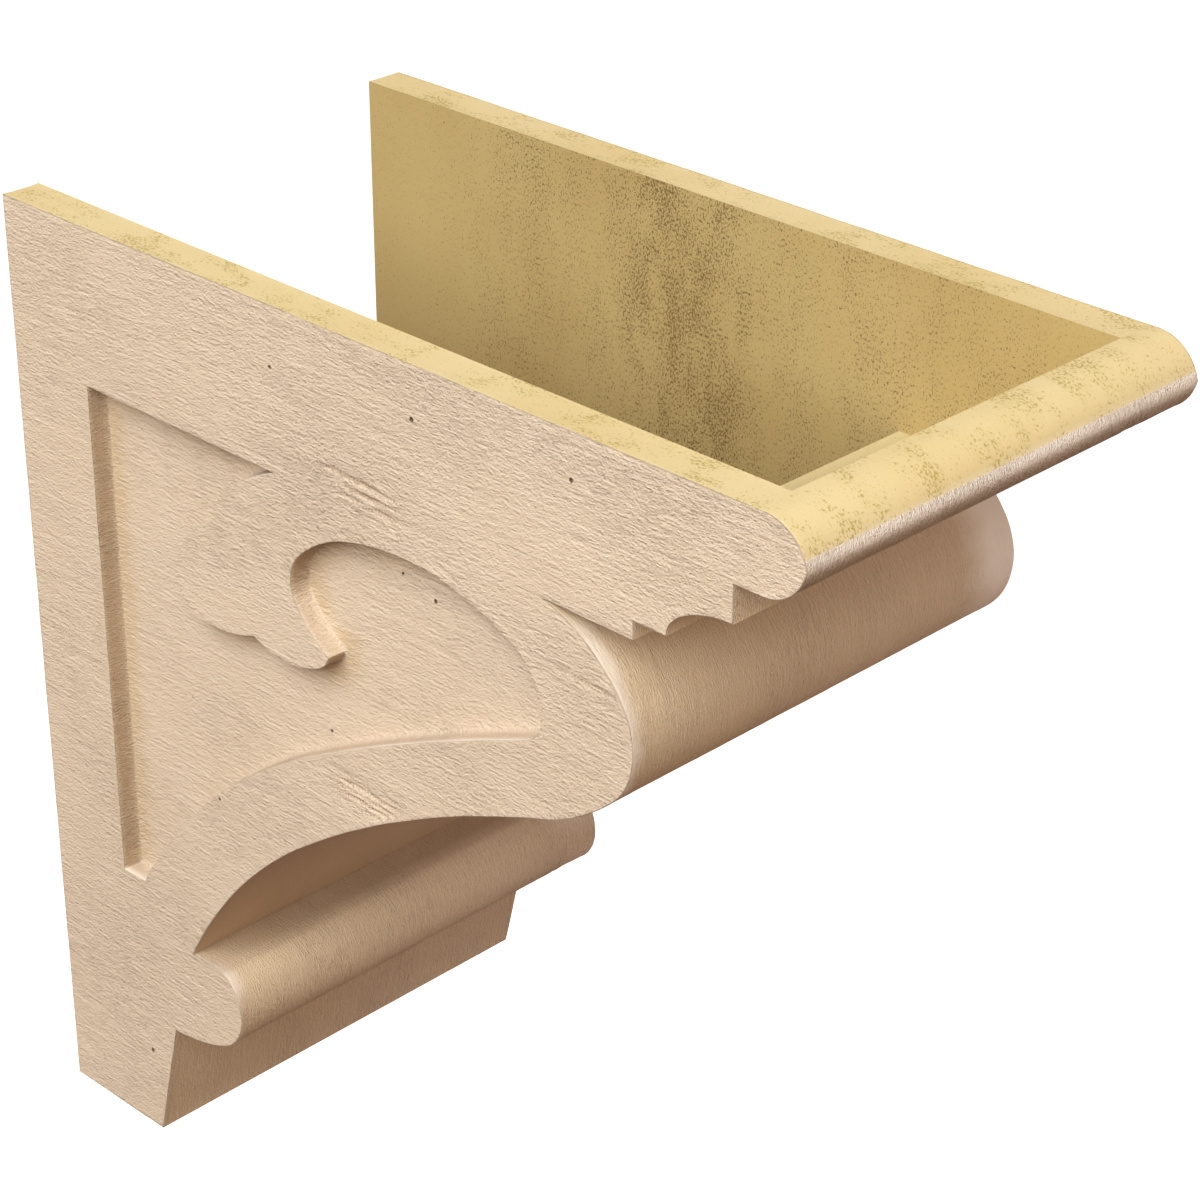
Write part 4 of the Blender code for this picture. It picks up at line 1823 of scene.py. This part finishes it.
@dataclass
class Casting:
    """The whole corbel as one closed mesh.

    Points in the same small cell are welded, with so many cells to an inch. The weld's shift
    makes every place positive and keeps round numbers off the cells' edges.
    """

    skin: Skin
    name: str = "corbel_casting"
    weld_cells: float = 1e4
    weld_shift: float = 50.00003
    sharp_angle: float = 48.0

    def __post_init__(self) -> None:
        """Collect the patches of every sub-assembly."""
        skin = self.skin
        hollow = Hollow(skin)
        plan = CheekPlan(skin, SunkPanel(), hollow)
        self.patches = [Front(skin).patch(), hollow.patch(), FloorEdge(skin).patch()]
        for side, gouges in ((Side.LEFT, LEFT_GOUGES), (Side.RIGHT, RIGHT_GOUGES)):
            cheek = Cheek(plan, side, gouges)
            self.patches += [cheek.face(), cheek.arris(), cheek.walls(), cheek.floor(),
                             cheek.inner(), cheek.rim_and_rear()]
            LOG.info("cheek %s laid out", side.name.lower())
        self.origin_height = skin.outline.wall / 2

    def welded(self) -> tuple[Array, Array, Array]:
        """Merge points that fall on one place, to a ten-thousandth of an inch.

        Returns:
            The merged points, the triangles and which of the patches' triangles they are.
        """
        points = np.vstack([patch.points for patch in self.patches])
        starts = np.cumsum([0] + [len(patch.points) for patch in self.patches[:-1]])
        triangles = np.vstack([patch.triangles + start
                               for patch, start in zip(self.patches, starts)])
        cells = np.floor((points + self.weld_shift) * self.weld_cells).astype(np.int64)
        _, keep, merged = np.unique(cells, axis=0, return_index=True, return_inverse=True)
        triangles = merged.reshape(-1)[triangles]
        real = ((triangles[:, 0] != triangles[:, 1]) & (triangles[:, 1] != triangles[:, 2])
                & (triangles[:, 2] != triangles[:, 0]))
        return points[keep], triangles[real], real

    def check_closed(self, triangles: Array) -> None:
        """Stop if an edge doesn't join exactly two triangles."""
        edges = np.sort(np.vstack((triangles[:, :2], triangles[:, 1:], triangles[:, ::2])), axis=1)
        _, counts = np.unique(edges, axis=0, return_counts=True)
        if (counts != 2).any():
            raise ValueError(f"{int((counts != 2).sum())} edges of the casting aren't closed")

    def build(self) -> bpy.types.Object:
        """Make the mesh, its grain, its tones of painted shade, painted light and wear, and its
        finishes, and put it in the scene.

        Returns:
            The casting's object.
        """
        points, triangles, real = self.welded()
        self.check_closed(triangles)
        width, depth, height = points.T
        metres = np.stack((width, -depth, height - self.origin_height), 1) * INCH
        mesh = bpy.data.meshes.new(self.name)
        mesh.vertices.add(len(metres))
        mesh.vertices.foreach_set("co", metres.ravel())
        mesh.loops.add(triangles.size)
        mesh.loops.foreach_set("vertex_index", triangles.ravel().astype(np.int32))
        mesh.polygons.add(len(triangles))
        mesh.polygons.foreach_set("loop_start", np.arange(0, triangles.size, 3, dtype=np.int32))
        finish = np.concatenate([patch.finish for patch in self.patches])[real]
        for material in (PrimedFinish().material(), RIM_FOAM.material(), INNER_FOAM.material()):
            mesh.materials.append(material)
        mesh.polygons.foreach_set("material_index", finish.astype(np.int32))
        mesh.update(calc_edges=True)
        grain = np.vstack([patch.grain[patch.triangles].reshape(-1, 2) for patch in self.patches])
        corners = np.repeat(real, 3)
        mesh.uv_layers.new(name="grain").data.foreach_set("uv", grain[corners].ravel())
        tone = np.vstack([patch.tone[patch.triangles].reshape(-1, len(TONES))
                          for patch in self.patches])[corners]
        for column, name in enumerate(TONES):
            layer = mesh.attributes.new(name, "FLOAT", "CORNER")
            layer.data.foreach_set("value", tone[:, column].astype(np.float32))
        self.face_outwards(mesh)
        mesh.shade_smooth()
        mesh.set_sharp_from_angle(angle=math.radians(self.sharp_angle))
        casting = bpy.data.objects.new(self.name, mesh)
        bpy.context.scene.collection.objects.link(casting)
        return casting

    @staticmethod
    def face_outwards(mesh: bpy.types.Mesh) -> None:
        """Turn every face of the closed mesh to face outwards, with its corners' values."""
        shell = bmesh.new()
        shell.from_mesh(mesh)
        bmesh.ops.recalc_face_normals(shell, faces=shell.faces)
        shell.to_mesh(mesh)
        shell.free()


# Studio


@dataclass(frozen=True)
class Lamp:
    """A soft square light that looks at the corbel."""

    name: str
    direction: tuple[float, float, float]
    distance: float
    size: float
    power: float
    colour: Colour

    def place(self, target: Vector) -> None:
        """Put the lamp in the scene, turned to the target."""
        data = bpy.data.lights.new(self.name, "AREA")
        data.shape = "SQUARE"
        data.size = self.size
        data.energy = self.power
        data.color = self.colour
        lamp = bpy.data.objects.new(self.name, data)
        lamp.visible_camera = False
        towards = Vector(self.direction).normalized()
        lamp.location = target + towards * self.distance
        lamp.rotation_euler = towards.to_track_quat("Z", "Y").to_euler()
        bpy.context.scene.collection.objects.link(lamp)


@dataclass(frozen=True)
class Studio:
    """Pale floor, soft lamps and the camera at the photograph's angle."""

    floor_drop: float = 0.95
    floor_size: float = 80.0
    floor_white: float = 0.9
    floor_glow: float = 0.9
    ambient: Colour = (1.0, 0.62, 0.46)
    ambient_strength: float = 0.23
    camera_place: tuple[float, float, float] = (-0.58163, -0.73536, 0.62788)
    camera_turn: tuple[float, float, float] = (62.3226, -0.1041, -45.4453)
    lens: float = 97.9978
    sensor: float = 36.0
    lamps: tuple[Lamp, ...] = (
        Lamp("key", (-0.69, -0.23, 0.68), 3.3, 2.9, 178.0, (0.93, 1.0, 0.99)),
        Lamp("front_fill", (-0.20, -1.0, 0.30), 2.0, 1.4, 8.5, (1.0, 0.86, 0.68)),
        Lamp("right_fill", (1.0, 0.0, 0.0), 1.8, 1.2, 15.0, (1.0, 0.95, 0.90)),
        Lamp("back_fill", (0.25, 1.0, 0.45), 1.8, 1.2, 4.0, (1.0, 0.95, 0.90)),
    )

    def build(self) -> None:
        """Make the camera, the lamps, the surrounding light and the floor."""
        self.camera()
        low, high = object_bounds()
        for lamp in self.lamps:
            lamp.place((Vector(low) + Vector(high)) / 2)
        self.surround()
        self.floor(Vector(low).z - self.floor_drop)
        bpy.context.scene.view_settings.view_transform = "Standard"

    def camera(self) -> None:
        """Make the camera with the place, turn and lens solved from the photograph's edges."""
        data = bpy.data.cameras.new("camera")
        data.sensor_width = self.sensor
        data.lens = self.lens
        camera = bpy.data.objects.new("camera", data)
        camera.location = self.camera_place
        camera.rotation_euler = Euler([math.radians(angle) for angle in self.camera_turn])
        bpy.context.scene.collection.objects.link(camera)
        bpy.context.scene.camera = camera

    def surround(self) -> None:
        """Light the scene evenly from all round with a warm dim glow."""
        world = bpy.data.worlds.new("surround")
        world.use_nodes = True
        background = world.node_tree.nodes["Background"]
        background.inputs["Color"].default_value = opaque(self.ambient)
        background.inputs["Strength"].default_value = self.ambient_strength
        bpy.context.scene.world = world

    def floor(self, level: float) -> None:
        """Lay a plain white floor, bright enough that the corbel's shadow doesn't show on it.

        The floor throws no light back up, as the photograph's undersides are dark.
        """
        half = self.floor_size / 2
        corners = [(-half, -half, level), (half, -half, level), (half, half, level),
                   (-half, half, level)]
        mesh = bpy.data.meshes.new("floor")
        mesh.from_pydata(corners, [], [(0, 1, 2, 3)])
        white = bpy.data.materials.new("floor_white")
        white.use_nodes = True
        shader = white.node_tree.nodes["Principled BSDF"]
        shader.inputs["Base Color"].default_value = opaque((self.floor_white,) * 3)
        shader.inputs["Roughness"].default_value = 0.9
        shader.inputs["Specular IOR Level"].default_value = 0.0
        shader.inputs["Emission Color"].default_value = opaque((1.0, 1.0, 1.0))
        shader.inputs["Emission Strength"].default_value = self.floor_glow
        mesh.materials.append(white)
        floor = bpy.data.objects.new("floor", mesh)
        floor.visible_diffuse = False
        floor.visible_glossy = False
        bpy.context.scene.collection.objects.link(floor)
        floor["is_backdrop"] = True


def main() -> None:
    """Load the frame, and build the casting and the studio."""
    logging.basicConfig(level=logging.INFO, format="%(name)s: %(message)s")
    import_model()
    Studio().build()
    casting = Casting(Skin(SideOutline())).build()
    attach(casting, BODY)
    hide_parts(CASTING_NODE)
    LOG.info("%s: %d triangles", casting.name, len(casting.data.polygons))


if __name__ == "__main__":
    main()
